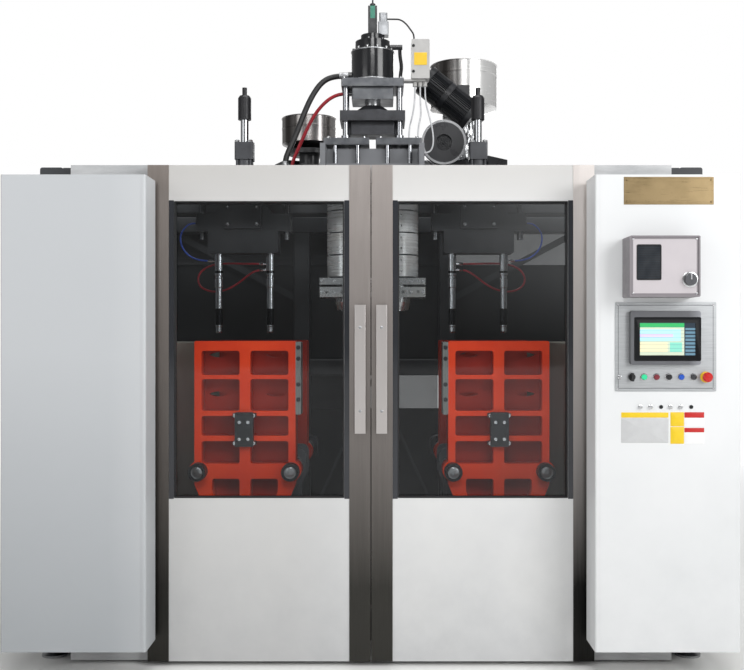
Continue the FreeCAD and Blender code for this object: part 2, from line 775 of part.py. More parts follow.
def platen(x, mould_face, way, bar_hole):
    """A ribbed casting; way is the direction from its flat mould face to its ribs."""
    half = PLATEN_WIDTH / 2
    toe = PLATEN_TOE_HALF
    shape = [
        (x - half, PLATEN_TOP, 8),
        (x + half, PLATEN_TOP, 8),
        (x + half, PLATEN_SHOULDER, 40),
        (x + toe, PLATEN_BOTTOM, 30),
        (x - toe, PLATEN_BOTTOM, 30),
        (x - half, PLATEN_SHOULDER, 40),
    ]
    back = mould_face + way * PLATEN_THICK
    floor = mould_face + way * PLATEN_WEB
    low, high = min(mould_face, back), max(mould_face, back)
    cast = prism("xz", shape, low, high)
    bosses = [rod("y", (x + s * TIE_X, TIE_Z), TIE_BOSS, low, high) for s in (-1, 1)]
    cast = join(cast, *bosses)
    pocket_low, pocket_high = min(floor, back), max(floor, back)
    rows = ((1337, 1224), (1205, 1057), (1034, 941), (917, 812))
    spine = PLATEN_SPINE / 2
    edge = half - PLATEN_RIM
    tools = []
    for top, bottom in rows:
        for s in (-1, 1):
            points = rectangle(x + s * spine, x + s * edge, bottom, top)
            tools.append(prism("xz", points, pocket_low, pocket_high, POCKET_CORNER))
    for s in (-1, 1):
        slope = [
            (x + s * spine, 742),
            (x + s * (TIE_X - TIE_BOSS - 14), 742),
            (x + s * (TIE_X - TIE_BOSS - 14), 690),
            (x + s * (toe + 22), 560),
            (x + s * spine, 560),
        ]
        tools.append(prism("xz", slope, pocket_low, pocket_high, POCKET_CORNER))
    for s in (-1, 1):
        for z, wide in ((1316, 92), (1131, 92)):
            tools.append(lens(x + s * 135, z, wide, 24, low, high))
        tools.append(rod("y", (x + s * TIE_X, TIE_Z), bar_hole, low, high))
    tools.append(rod("y", (x, TIE_LOW_Z), bar_hole, low, high))
    return cut(cast, *tools)


def bars(x):
    """The three tie bar axes of a station, as pairs of x and z."""
    return ((x - TIE_X, TIE_Z), (x + TIE_X, TIE_Z), (x, TIE_LOW_Z))


def clamp_station(name, x, side):
    nut_front = FRONT_FRONT_Y - TIE_NUT_LONG
    yoke_back = YOKE_Y + YOKE_THICK
    nut_back = yoke_back + TIE_NUT_LONG
    save(f"{name}_front_platen", platen(x, PART_Y - OPEN_HALF, -1, TIE_BAR + FIT))
    rear = platen(x, PART_Y + OPEN_HALF, 1, TIE_BAR + FIT)
    boss = rod("y", (x, CYLINDER_Z), 60, PART_Y + OPEN_HALF + PLATEN_WEB, REAR_BACK_Y)
    rear = cut(join(rear, boss))
    tie_solids = []
    for bx, bz in bars(x):
        tie_solids.append(rod("y", (bx, bz), TIE_BAR, nut_front + 6, nut_back - 6))
        for y0, y1 in ((nut_front, FRONT_FRONT_Y), (yoke_back, nut_back)):
            nut = rod("y", (bx, bz), TIE_NUT, y0, y1)
            tie_solids.append(nut.cut(rod("y", (bx, bz), TIE_BAR + FIT, y0, y1)))
    save(f"{name}_tie_bars", *tie_solids)

    reach = TIE_NUT + 14
    shape = [
        (x - TIE_X - reach, TIE_Z + reach, reach * 0.8),
        (x + TIE_X + reach, TIE_Z + reach, reach * 0.8),
        (x + TIE_X + reach, TIE_Z - reach, 30),
        (x + reach, TIE_LOW_Z - reach, 40),
        (x - reach, TIE_LOW_Z - reach, 40),
        (x - TIE_X - reach, TIE_Z - reach, 30),
    ]
    yoke = prism("xz", shape, YOKE_Y, yoke_back)
    holes = [rod("y", spot_, TIE_BAR + FIT, YOKE_Y, yoke_back) for spot_ in bars(x)]
    yoke = cut(yoke, *holes, rod("y", (x, CYLINDER_Z), CYLINDER_R, YOKE_Y, yoke_back))
    cylinder_front = REAR_BACK_Y + 2 * CYLINDER_CAP
    cylinder_back = cylinder_front + 2 * CLAMP_TRAVEL + PISTON_LONG + 2 * CYLINDER_CAP + 20
    barrel = rod("y", (x, CYLINDER_Z), CYLINDER_R, cylinder_front, cylinder_back)
    bore = rod(
        "y",
        (x, CYLINDER_Z),
        CYLINDER_BORE,
        cylinder_front + CYLINDER_CAP,
        cylinder_back - CYLINDER_CAP,
    )
    gland = rod("y", (x, CYLINDER_Z), CLAMP_ROD + FIT, cylinder_front, cylinder_front + CYLINDER_CAP)
    flange = plate("xz", x - 95, x + 95, CYLINDER_Z - 95, CYLINDER_Z + 95, YOKE_Y - 22, YOKE_Y, 14)
    barrel = cut(join(barrel, flange), bore, gland)
    anchor = plate("xz", x - 42, x + 42, 894, 1052, FRONT_FRONT_Y - 36, FRONT_FRONT_Y, 5)
    ears = [
        plate("xz", x - 54, x + 54, z, z + 20, FRONT_FRONT_Y - 20, FRONT_FRONT_Y, 4)
        for z in (1028, 900)
    ]
    edge = x - side * PLATEN_WIDTH / 2
    strip = plate(
        "xz",
        min(edge, edge - side * SIDE_STRIP),
        max(edge, edge - side * SIDE_STRIP),
        SIDE_STRIP_LOW,
        PLATEN_TOP - 4,
        FRONT_FRONT_Y,
        FRONT_FRONT_Y + 85,
        4,
    )
    save(f"{name}_clamp_unit", join(yoke, barrel), join(anchor, *ears), strip)

    piston_end = cylinder_back - CYLINDER_CAP - 10
    shaft = rod("y", (x, CYLINDER_Z), CLAMP_ROD, REAR_BACK_Y, piston_end)
    piston = rod("y", (x, CYLINDER_Z), CYLINDER_BORE - 2 * FIT, piston_end - PISTON_LONG, piston_end)
    save(f"{name}_rear_platen", rear, join(shaft, piston))


def carriage(name, x, side):
    half = CARRIAGE_HALF
    front = PART_Y - CARRIAGE_REACH
    back = PART_Y + CARRIAGE_REACH
    slab = plate("xy", x - half, x + half, front, back, SLAB_LOW, SLAB_TOP, 15)
    window = plate("xy", x - 110, x + 110, PART_Y - 60, PART_Y + 60, SLAB_LOW, SLAB_TOP, 20)
    slab = slab.cut(window)
    pieces = [slab]
    wall_shape = [
        (x - half, SLAB_TOP - 1, 0),
        (x + half, SLAB_TOP - 1, 0),
        (x + half, TIE_Z - 130, 60),
        (x + TIE_X + 46, TIE_Z - 60, 40),
        (x + TIE_X + 46, WALL_TOP, 36),
        (x - TIE_X - 46, WALL_TOP, 36),
        (x - TIE_X - 46, TIE_Z - 60, 40),
        (x - half, TIE_Z - 130, 60),
    ]
    for way in (-1, 1):
        outer = PART_Y + way * (WALL_OFFSET + WALL_THICK / 2)
        inner = PART_Y + way * (WALL_OFFSET - WALL_THICK / 2)
        low, high = min(outer, inner), max(outer, inner)
        wall = prism("xz", wall_shape, low, high)
        opening = plate("xz", x - 140, x + 140, TIE_LOW_Z + 90, WALL_TOP - 60, low, high, 40)
        pieces.append(wall.cut(opening))
        for s in (-1, 1):
            edge = x + s * (half - 14)
            gusset = [
                (outer, SLAB_TOP - 1),
                (outer + way * 150, SLAB_TOP - 1),
                (outer, SLAB_TOP + 160),
            ]
            pieces.append(prism("yz", gusset, edge - 8, edge + 8))
    for s in (-1, 1):
        rib_x = x + s * (half - 30)
        y0 = PART_Y - WALL_OFFSET
        y1 = PART_Y + WALL_OFFSET
        pieces.append(plate("yz", y0, y1, SLAB_TOP - 1, TIE_Z - 100, rib_x - 8, rib_x + 8))
    body = join(*pieces)
    sleeve_from = PART_Y - WALL_OFFSET - WALL_THICK / 2
    sleeve_to = PART_Y + WALL_OFFSET + WALL_THICK / 2
    sleeves = [rod("y", c, TIE_BAR + 14, sleeve_from, sleeve_to) for c in bars(x)]
    holes = [rod("y", c, TIE_BAR + FIT, sleeve_from, sleeve_to) for c in bars(x)]
    body = cut(join(body, *sleeves), *holes)
    shoes = []
    for offset in (-CARRIAGE_RAIL_OFFSET, CARRIAGE_RAIL_OFFSET):
        for s in (-1, 1):
            y = PART_Y + offset
            cx = x + s * (half - CARRIAGE_SHOE_LONG / 2 - 10)
            x0, x1 = cx - CARRIAGE_SHOE_LONG / 2, cx + CARRIAGE_SHOE_LONG / 2
            shoe = box(x0, x1, y - 50, y + 50, SLAB_LOW - CARRIAGE_SHOE_HIGH, SLAB_LOW)
            grip = CARRIAGE_RAIL_WIDE / 2 + SEAT
            groove = box(
                x0,
                x1,
                y - grip,
                y + grip,
                SLAB_LOW - CARRIAGE_SHOE_HIGH,
                CARRIAGE_RAIL_TOP + SEAT,
            )
            shoes.append(shoe.cut(groove))
    y = PART_Y + SHUTTLE_Y
    lug = x - side * SHUTTLE_LUG
    bracket = box(lug - 30, lug + 30, y - 20, y + 20, SHUTTLE_Z - 16, SLAB_LOW)
    body = join(body, *shoes, bracket)
    start = abs(lug) + 30
    end = SHUTTLE_FAR - SHUTTLE_CAP - SHUTTLE_SPARE / 2 - abs(BLOW_SHIFT)
    link = rod("x", (y, SHUTTLE_Z), SHUTTLE_ROD, start, end)
    piston = rod("x", (y, SHUTTLE_Z), SHUTTLE_R - 6 - FIT, end - SHUTTLE_PISTON, end)
    save(f"{name}_carriage", body, handed(join(link, piston), side))


def carriage_rails():
    rails = []
    for offset in (-CARRIAGE_RAIL_OFFSET, CARRIAGE_RAIL_OFFSET):
        y = PART_Y + offset
        half = CARRIAGE_RAIL_WIDE / 2
        reach = HOUSING_INNER_X - 4
        waist = half * 0.72
        top = CARRIAGE_RAIL_TOP
        shape = [
            (y - half, BASE_TOP),
            (y + half, BASE_TOP),
            (y + half, BASE_TOP + 12),
            (y + waist, BASE_TOP + 16),
            (y + waist, top - 14),
            (y + half, top - 9),
            (y + half, top),
            (y - half, top),
            (y - half, top - 9),
            (y - waist, top - 14),
            (y - waist, BASE_TOP + 16),
            (y - half, BASE_TOP + 12),
        ]
        rails.append(prism("yz", shape, -reach, reach))
    save("carriage_rails", *rails)


def shuttle_cylinders():
    """The barrels that push the carriages sideways, each on a foot on the end beam."""
    barrels = []
    y = PART_Y + SHUTTLE_Y
    for _, side in SIDES:
        near = SHUTTLE_NEAR
        far = SHUTTLE_FAR
        barrel = rod("x", (y, SHUTTLE_Z), SHUTTLE_R, near, far)
        bore = rod("x", (y, SHUTTLE_Z), SHUTTLE_R - 6, near + SHUTTLE_CAP, far - SHUTTLE_CAP)
        gland = rod("x", (y, SHUTTLE_Z), SHUTTLE_ROD + FIT, near, near + SHUTTLE_CAP)
        foot = box(far - 50, far, y - SHUTTLE_R, y + SHUTTLE_R, BASE_TOP, SHUTTLE_Z)
        barrels.append(handed(cut(join(barrel, foot), bore, gland), side))
    save("shuttle_cylinders", *barrels)


# ---- blow units ----
def blow_unit(name, x, side):
    y = PART_Y
    half = CARRIER_HALF
    carrier_low = PIN_TOP_Z
    bar_shape = [
        (x - half, WING_LOW),
        (x - half, WING_TOP),
        (x - half + 90, WING_TOP, 10),
        (x - 105, CARRIER_TOP, 10),
        (x + 105, CARRIER_TOP, 10),
        (x + half - 90, WING_TOP, 10),
        (x + half, WING_TOP),
        (x + half, WING_LOW),
        (x + 175, WING_LOW, 8),
        (x + 175, carrier_low, 8),
        (x - 175, carrier_low, 8),
        (x - 175, WING_LOW, 8),
    ]
    carrier = prism("xz", bar_shape, y - 62, y + 62)
    face = plate("xz", x - 92, x + 92, WING_LOW + 10, CARRIER_TOP - 6, y - 80, y - 62, 6)
    carrier = join(carrier, face)
    end_face = x + side * half
    guides = []
    rods = []
    for s in (-1, 1):
        gx = x + s * GUIDE_X
        guides.append(rod("z", (gx, y), GUIDE_R + FIT, WING_LOW - 30, WING_TOP + 80))
        rods.append(rod("z", (gx, y), GUIDE_R, WING_LOW - 40, HEAD_BEAM_TOP + 37))
    centre_hole = rod("z", (x, y), STROKE_ROD_R + FIT, CARRIER_TOP - 60, CARRIER_TOP)
    fitting_tip = end_face + side * 12
    fitting = rod("x", (y, 1975), 9, min(end_face, fitting_tip), max(end_face, fitting_tip))
    carrier = join(cut(carrier, *guides, centre_hole), fitting)
    save(f"{name}_blow_carrier", carrier)
    tail = rod("z", (x, y), STROKE_ROD_R, CARRIER_TOP - 60, COLLAR_TOP)
    stub = rod("z", (x, y), 12, COLLAR_TOP, ROD_TOP)
    collar = turned(
        [
            (STROKE_ROD_R + FIT, COLLAR_BOTTOM),
            (COLLAR_R, COLLAR_BOTTOM),
            (COLLAR_R, COLLAR_TOP - 12),
            (COLLAR_R - 8, COLLAR_TOP),
            (STROKE_ROD_R + FIT, COLLAR_TOP),
        ],
        x,
        y,
    )
    pins = []
    for s in (-1, 1):
        px = x + s * PIN_PITCH / 2
        profile = [
            (5, PIN_TIP_Z),
            (12, PIN_TIP_Z),
            (15, PIN_TIP_Z + 8),
            (15, PIN_TIP_Z + 30),
            (17, PIN_TIP_Z + 34),
            (17, PIN_TIP_Z + 44),
            (19, PIN_TIP_Z + 48),
            (19, PIN_TOP_Z - 280),
            (17, PIN_TOP_Z - 276),
            (17, PIN_TOP_Z - 172),
            (20, PIN_TOP_Z - 168),
            (20, PIN_TOP_Z - 126),
            (17, PIN_TOP_Z - 123),
            (17, PIN_TOP_Z - 111),
            (21, PIN_TOP_Z - 108),
            (21, PIN_TOP_Z),
            (5, PIN_TOP_Z),
        ]
        pin = turned(profile, px, y)
        reach = px + side * 20
        for z in (1770, 1739) if s * side < 0 else (1785,):
            nipple = rod("x", (y, z), 6, min(px, reach + side * 16), max(px, reach + side * 16))
            pin = join(pin, nipple.cut(rod("z", (px, y), 15, z - 10, z + 10)))
        pins.append(pin)
    save(f"{name}_blow_pins_and_rods", *rods, join(tail, stub), collar, *pins)

    def place(points):
        return [(x + side * px, y + py, pz) for px, py, pz in points]

    near_pin = -PIN_PITCH / 2 + 36
    red = [
        (near_pin, 0, 1770),
        (near_pin + 44, 0, 1770),
        (near_pin + 100, 16, 1772),
        (near_pin + 160, 36, 1775),
        (128, 46, 1775),
        (186, 46, 1764),
        (232, 44, 1734),
        (248, 42, 1690),
        (226, 42, 1648),
        (168, 42, 1628),
        (102, 40, 1638),
        (40, 30, 1670),
        (-14, 12, 1712),
        (near_pin + 34, 0, 1739),
        (near_pin, 0, 1739),
    ]
    far_pin = PIN_PITCH / 2 + 36
    fitting_end = CARRIER_HALF + 12
    blue = [
        (far_pin, 0, 1785),
        (far_pin + 56, 0, 1785),
        (far_pin + 112, 0, 1806),
        (far_pin + 148, 0, 1846),
        (far_pin + 160, 0, 1888),
        (far_pin + 156, 0, 1926),
        (fitting_end + 53, 0, 1956),
        (fitting_end + 28, 0, 1975),
        (fitting_end, 0, 1975),
    ]
    red_hose = hose(f"{name} red blowing hose", place(red), 5)
    blue_hose = hose(f"{name} blue blowing hose", place(blue), 4)
    save(f"{name}_blow_hoses", red_hose, blue_hose)


def blow_cylinders():
    """Fixed cylinders on bridges across the head beams, with the rod guides beside them."""
    bodies = []
    y = PART_Y
    for _, side in SIDES:
        x = side * STATION_X + BLOW_SHIFT
        reach = HEAD_BEAM_OFFSET + COLUMN / 2
        bridge_top = HEAD_BEAM_TOP + BRIDGE_THICK
        bridge = plate(
            "xy", x - 245, x + 245, y - reach, y + reach, HEAD_BEAM_TOP, bridge_top, 10
        )
        half = STROKE_BLOCK / 2
        ends = (STROKE_BLOCK_BOTTOM, STROKE_BLOCK_TOP)
        block = plate("xy", x - half, x + half, y - half, y + half, *ends, 8)
        barrel = rod("z", (x, y), 40, CARRIER_TOP + 32, STROKE_BLOCK_BOTTOM)
        rods = [
            rod("z", (x + dx, y + dy), 7, HEAD_BEAM_TOP, STROKE_BLOCK_TOP + 14)
            for dx in (-33, 33)
            for dy in (-33, 33)
        ]
        sleeves = [
            rod("z", (x + s * GUIDE_X, y), GUIDE_R + 10, HEAD_BEAM_TOP - 85, HEAD_BEAM_TOP + 22)
            for s in (-1, 1)
        ]
        holes = [
            rod("z", (x + s * GUIDE_X, y), GUIDE_R + FIT, HEAD_BEAM_TOP - 90, HEAD_BEAM_TOP + 30)
            for s in (-1, 1)
        ]
        body = join(bridge, block, barrel, *rods, *sleeves)
        core = rod("z", (x, y), STROKE_ROD_R + FIT, CARRIER_TOP, STROKE_BLOCK_TOP + 20)
        bodies.append(cut(body, *holes, core))
    save("blow_cylinders", *bodies)


# ---- die head ----
def die_centres():
    return (-DIE_PITCH / 2, DIE_PITCH / 2)


def die_head():
    y = PART_Y
    half = HEAD_BLOCK_HALF
    deep = HEAD_BLOCK_DEEP
    flange_low = HEAD_BLOCK_LOW - HEAD_FLANGE
    flange = plate("xy", -half, half, y - deep, y + deep, flange_low, HEAD_BLOCK_LOW, 6)
    block = plate(
        "xy",
        -half,
        half,
        y - HEAD_BLOCK_FRONT,
        y + deep,
        HEAD_BLOCK_LOW - 1,
        HEAD_BLOCK_TOP,
        6,
    )
    block = join(flange, block)
    reach = HEAD_BEAM_OFFSET + COLUMN / 2 - 5
    feet = []
    for s in (-1, 1):
        x0 = s * (HEAD_BLOCK_HALF - 25)
        x1 = s * HEAD_BLOCK_HALF
        web_top = HEAD_BLOCK_TOP - 10
        feet.append(box(x0, x1, y - reach, y + deep, HEAD_BEAM_TOP, web_top))
        feet.append(box(x0, x1, y + deep, y + reach, HEAD_BEAM_TOP, HEAD_BEAM_TOP + 10))
    cores = []
    bores = []
    for x in die_centres():
        profile = [
            (0, UPPER_PLATE_LOW),
            (DIE_BUSH_R + 6, UPPER_PLATE_LOW),
            (DIE_BUSH_R + 6, HEAD_LOW),
            (CORE_R, HEAD_LOW),
            (CORE_R, HEAD_BLOCK_LOW + 1),
            (0, HEAD_BLOCK_LOW + 1),
        ]
        cores.append(turned(profile, x, y))
        bores.append(rod("z", (x, y), MANDREL_R + FIT, UPPER_PLATE_LOW, HEAD_BLOCK_TOP))
    save("die_head_body", cut(join(block, *feet, *cores), *bores))

    bands = []
    for x in die_centres():
        for k in range(BANDS):
            low = HEAD_LOW + BAND_START + k * (BAND_HIGH + BAND_GAP)
            high = low + BAND_HIGH
            ring = Part.makeCylinder(BAND_R, high - low, V(x, y, low))
            ears = box(x - 9, x + 9, y - BAND_R - 14, y - CORE_R, low + 8, high - 8)
            hollow = Part.makeCylinder(CORE_R + SEAT, high - low, V(x, y, low))
            slit = box(x - 3, x + 3, y - BAND_R - 20, y - CORE_R + 10, low, high)
            bands.append(cut(join(ring, ears), hollow, slit))
    save("heater_bands", *bands)

    plates = []
    for low, high, radius in (
        (UPPER_PLATE_LOW, HEAD_LOW, DIE_BUSH_R + 6 + FIT),
        (LOWER_PLATE_LOW, LOWER_PLATE_TOP, DIE_BUSH_R + FIT),
    ):
        flat = plate(
            "xy",
            -DIE_PLATE_HALF,
            DIE_PLATE_HALF,
            y - DIE_PLATE_DEEP,
            y + DIE_PLATE_DEEP,
            low,
            high,
            8,
        )
        holes = [rod("z", (x, y), radius, low, high) for x in die_centres()]
        if high == LOWER_PLATE_TOP:
            for x in (-225, -150, -60, 60, 150, 225):
                holes.append(rod("y", (x, (low + high) / 2), 8, y - DIE_PLATE_DEEP, y - 60))
        plates.append(cut(flat, *holes))
    save("die_plates", *plates)

    tips = []
    for x in die_centres():
        profile = [
            (DIE_BORE, TIP_Z),
            (50, TIP_Z),
            (56, TIP_Z + 22),
            (DIE_BUSH_R, TIP_Z + 40),
            (DIE_BUSH_R, LOWER_PLATE_TOP),
            (DIE_BUSH_R, UPPER_PLATE_LOW),
            (MANDREL_R + 8, UPPER_PLATE_LOW),
            (MANDREL_R + 8, UPPER_PLATE_LOW - 20),
            (DIE_BORE, LOWER_PLATE_LOW),
        ]
        tips.append(turned(profile, x, y))
    save("die_tips", *tips)


def head_stack():
    """The fixed plates and pillars that carry the wall-thickness cylinder."""
    y = PART_Y
    pillars_at = [(sx * PILLAR_X, y + sy * PILLAR_Y) for sx in (-1, 1) for sy in (-1, 1)]
    half = DIE_TOP_PLATE / 2
    solids = []
    for x in die_centres():
        flat = plate(
            "xy",
            x - half,
            x + half,
            y - 105,
            y + 105,
            DIE_TOP_PLATE_LOW,
            DIE_TOP_PLATE_TOP,
            5,
        )
        flat = flat.cut(rod("z", (x, y), MANDREL_R + 6, DIE_TOP_PLATE_LOW, DIE_TOP_PLATE_TOP))
        spacers = [
            rod("z", (x + dx, y + dy), SPACER_R, low, DIE_TOP_PLATE_LOW)
            for dx in (-SPACER_OFFSET, SPACER_OFFSET)
            for dy, low in ((-88, HEAD_BLOCK_LOW), (80, HEAD_BLOCK_TOP))
        ]
        solids.append(join(flat, *spacers))
    for px, py in pillars_at:
        profile = [
            (0, DIE_TOP_PLATE_TOP),
            (PILLAR_R + 8, DIE_TOP_PLATE_TOP),
            (PILLAR_R + 8, DIE_TOP_PLATE_TOP + 14),
            (PILLAR_R, DIE_TOP_PLATE_TOP + 14),
            (PILLAR_R, CYLINDER_PLATE_LOW),
            (0, CYLINDER_PLATE_LOW),
        ]
        solids.append(turned(profile, px, py))
    reach = CYLINDER_PLATE_HALF
    top = plate(
        "xy", -reach, reach, y - 110, y + 110, CYLINDER_PLATE_LOW, CYLINDER_PLATE_TOP, 5
    )
    under = plate(
        "xy", -104, 104, y - 90, y + 90, CYLINDER_PLATE_LOW - 61, CYLINDER_PLATE_LOW + 1, 8
    )
    top = join(top, under)
    for px, py in pillars_at:
        top = top.cut(rod("z", (px, py), PILLAR_R + FIT, CYLINDER_PLATE_LOW - 70, CYLINDER_PLATE_LOW))
    bore = rod(
        "z", (0, y), PROGRAM_ROD + FIT, CYLINDER_PLATE_LOW - 70, CYLINDER_PLATE_TOP
    )
    solids.append(top.cut(bore))
    save("head_plates", *solids)


def mandrel_crosshead():
    y = PART_Y
    half = MOVING_PLATE_HALF
    flat = plate("xy", -half, half, y - 105, y + 105, MOVING_PLATE_LOW, MOVING_PLATE_TOP, 5)
    under = plate("xy", -110, 110, y - 70, y + 70, CROSSHEAD_LOW, MOVING_PLATE_LOW + 1, 6)
    wings = [
        box(s * 100, s * 150, y - 45, y + 45, CROSSHEAD_LOW, MOVING_PLATE_LOW + 1)
        for s in (-1, 1)
    ]
    coupling = turned(
        [
            (0, MOVING_PLATE_TOP - 1),
            (95, MOVING_PLATE_TOP - 1),
            (95, MOVING_PLATE_TOP + 8),
            (52, MOVING_PLATE_TOP + 38),
            (PROGRAM_ROD, MOVING_PLATE_TOP + 38),
            (PROGRAM_ROD, CYLINDER_PLATE_TOP + 70),
            (0, CYLINDER_PLATE_TOP + 70),
        ],
        0,
        y,
    )
    body = join(flat, under, *wings, coupling)
    for sx in (-1, 1):
        for sy in (-1, 1):
            hole = rod(
                "z",
                (sx * PILLAR_X, y + sy * PILLAR_Y),
                PILLAR_R + FIT,
                MOVING_PLATE_LOW - 70,
                MOVING_PLATE_TOP + 40,
            )
            body = body.cut(hole)
    mandrels = []
    for x in die_centres():
        profile = [
            (0, TIP_Z - 4),
            (33, TIP_Z - 4),
            (37, TIP_Z + 20),
            (20, TIP_Z + 70),
            (MANDREL_R, TIP_Z + 84),
            (MANDREL_R, CROSSHEAD_LOW),
            (0, CROSSHEAD_LOW),
        ]
        mandrels.append(turned(profile, x, y))
    save("mandrel_crosshead", body, *mandrels)


def programming_cylinder():
    y = PART_Y
    low = CYLINDER_PLATE_TOP
    profile = [
        (PROGRAM_ROD + FIT, low),
        (PROGRAM_R, low),
        (PROGRAM_R, PROGRAM_TOP),
        (PROGRAM_R - 19, PROGRAM_TOP),
        (PROGRAM_R - 19, PROGRAM_TOP + 48),
        (60, PROGRAM_TOP + 52),
        (60, PROGRAM_TOP + 81),
        (0, PROGRAM_TOP + 81),
        (0, PROGRAM_TOP - 20),
        (PROGRAM_BORE, PROGRAM_TOP - 20),
        (PROGRAM_BORE, low + 30),
        (PROGRAM_ROD + FIT, low + 30),
    ]
    body = turned(profile, 0, y)
    port = rod("x", (y, PROGRAM_TOP - 120), 19, -PROGRAM_R - 16, -PROGRAM_R + 20)
    port_high = rod("x", (y, PROGRAM_TOP + 24), 13, PROGRAM_R - 40, PROGRAM_R + 43)
    save("programming_cylinder", join(body, port, port_high))

    sensor_low = PROGRAM_TOP + 81
    sensor_top = sensor_low + 148
    body = plate("xy", -23, 22, y - 22, y + 22, sensor_low, sensor_top, 4)
    tip = [(0, 0), (14, 0), (14, 14), (4, 20), (4, 35), (0, 35)]
    cap = turned([(r, sensor_top + h) for r, h in tip], 0, y)
    valve_top = sensor_low + 66
    valve = plate("xy", 27, 80, y - 30, y + 30, sensor_low, valve_top, 5)
    motor = plate("xy", 33, 74, y - 24, y + 24, valve_top - 1, valve_top + 46, 8)
    save("cylinder_instruments", join(body, cap), join(valve, motor))


def junction_box():
    y = PART_Y - 60
    wall = 3.0
    x0, x1 = 193.0, 283.0
    z0 = CYLINDER_PLATE_TOP - 2.0
    z1 = z0 + 195.0
    case = plate("xz", x0, x1, z0, z1, y - 45, y + 45, 6)
    inside = plate("xz", x0 + wall, x1 - wall, z0 + wall, z1 - wall, y - 42, y + 42, 4)
    strap = box(CYLINDER_PLATE_HALF, x1 - 20, y - 25, y + 25, z0 - 8, z0)
    glands = [rod("z", (x, y), 11, z0 - 30, z0 - 8) for x in (212, 238, 262)]
    top_gland = rod("z", (x0 + 14, y), 7, z1, z1 + 12)
    save("junction_box", join(case.cut(inside), strap, *glands, top_gland))


# ---- extruders ----
def extruder_frame(side):
    """The inlet point and the flat direction of a barrel, from the head to the drive."""
    angle = math.radians(RIGHT_BARREL_ANGLE if side > 0 else LEFT_BARREL_ANGLE)
    start = V(side * DIE_PITCH / 2, HEAD_BACK_Y, BARREL_Z)
    return start, V(side * math.sin(angle), math.cos(angle), 0)


def along(start, way, radius, s0, s1):
    return Part.makeCylinder(radius, s1 - s0, start + way * s0, way)


def aligned_block(start, way, s0, s1, half, z0, z1):
    across = V(way.y, -way.x, 0)
    corners = [
        start + way * s0 - across * half,
        start + way * s1 - across * half,
        start + way * s1 + across * half,
        start + way * s0 + across * half,
    ]
    ring = Part.makePolygon([V(c.x, c.y, z0) for c in corners + corners[:1]])
    return Part.Face(ring).extrude(V(0, 0, z1 - z0))


def upper_motor(throat_at):
    """The slanting motor of the right-hand feeder, on a bracket from the throat."""
    x, y, z = throat_at.x, throat_at.y - 300, throat_at.z
    low = V(x + 21, y, z + 282)
    high = V(x - 231, y, z + 486)
    way = (high - low).normalize()
    length = (high - low).Length
    case = Part.makeCylinder(76, length, low, way)
    rims = [Part.makeCylinder(85, 30, low + way * s, way) for s in (0, length / 2, length - 30)]
    fan_cover = Part.makeCylinder(60, 26, high, way)
    lead_box = box(x - 60, x + 5, y - 35, y + 35, z + 362, z + 450)
    bracket = box(x - 30, x + 30, y + 40, throat_at.y, z + 293, z + 333)
    return [case, *rims, fan_cover, lead_box, bracket]


def blower():
    """A round fan housing with a foot on the right-hand bridge."""
    x, y, z = BLOWER_X, PART_Y + 105, BARREL_Z + 107
    drum = rod("y", (x, z), BLOWER_R, y - 32, y + 32)
    rim = rod("y", (x, z), BLOWER_R + 5, y - 36, y - 32)
    eye = rod("y", (x, z), 42, y - 36, y - 20)
    hub = rod("y", (x, z), 45, y + 31, y + 95)
    foot_top = z - BLOWER_R + 10
    foot = box(x - 20, x + 20, y - 20, y + 20, HEAD_BEAM_TOP + BRIDGE_THICK, foot_top)
    outlet = box(x - BLOWER_R, x - BLOWER_R + 50, y - 26, y + 26, z - 60, z)
    return join(cut(join(drum, rim), eye), hub, foot, outlet)


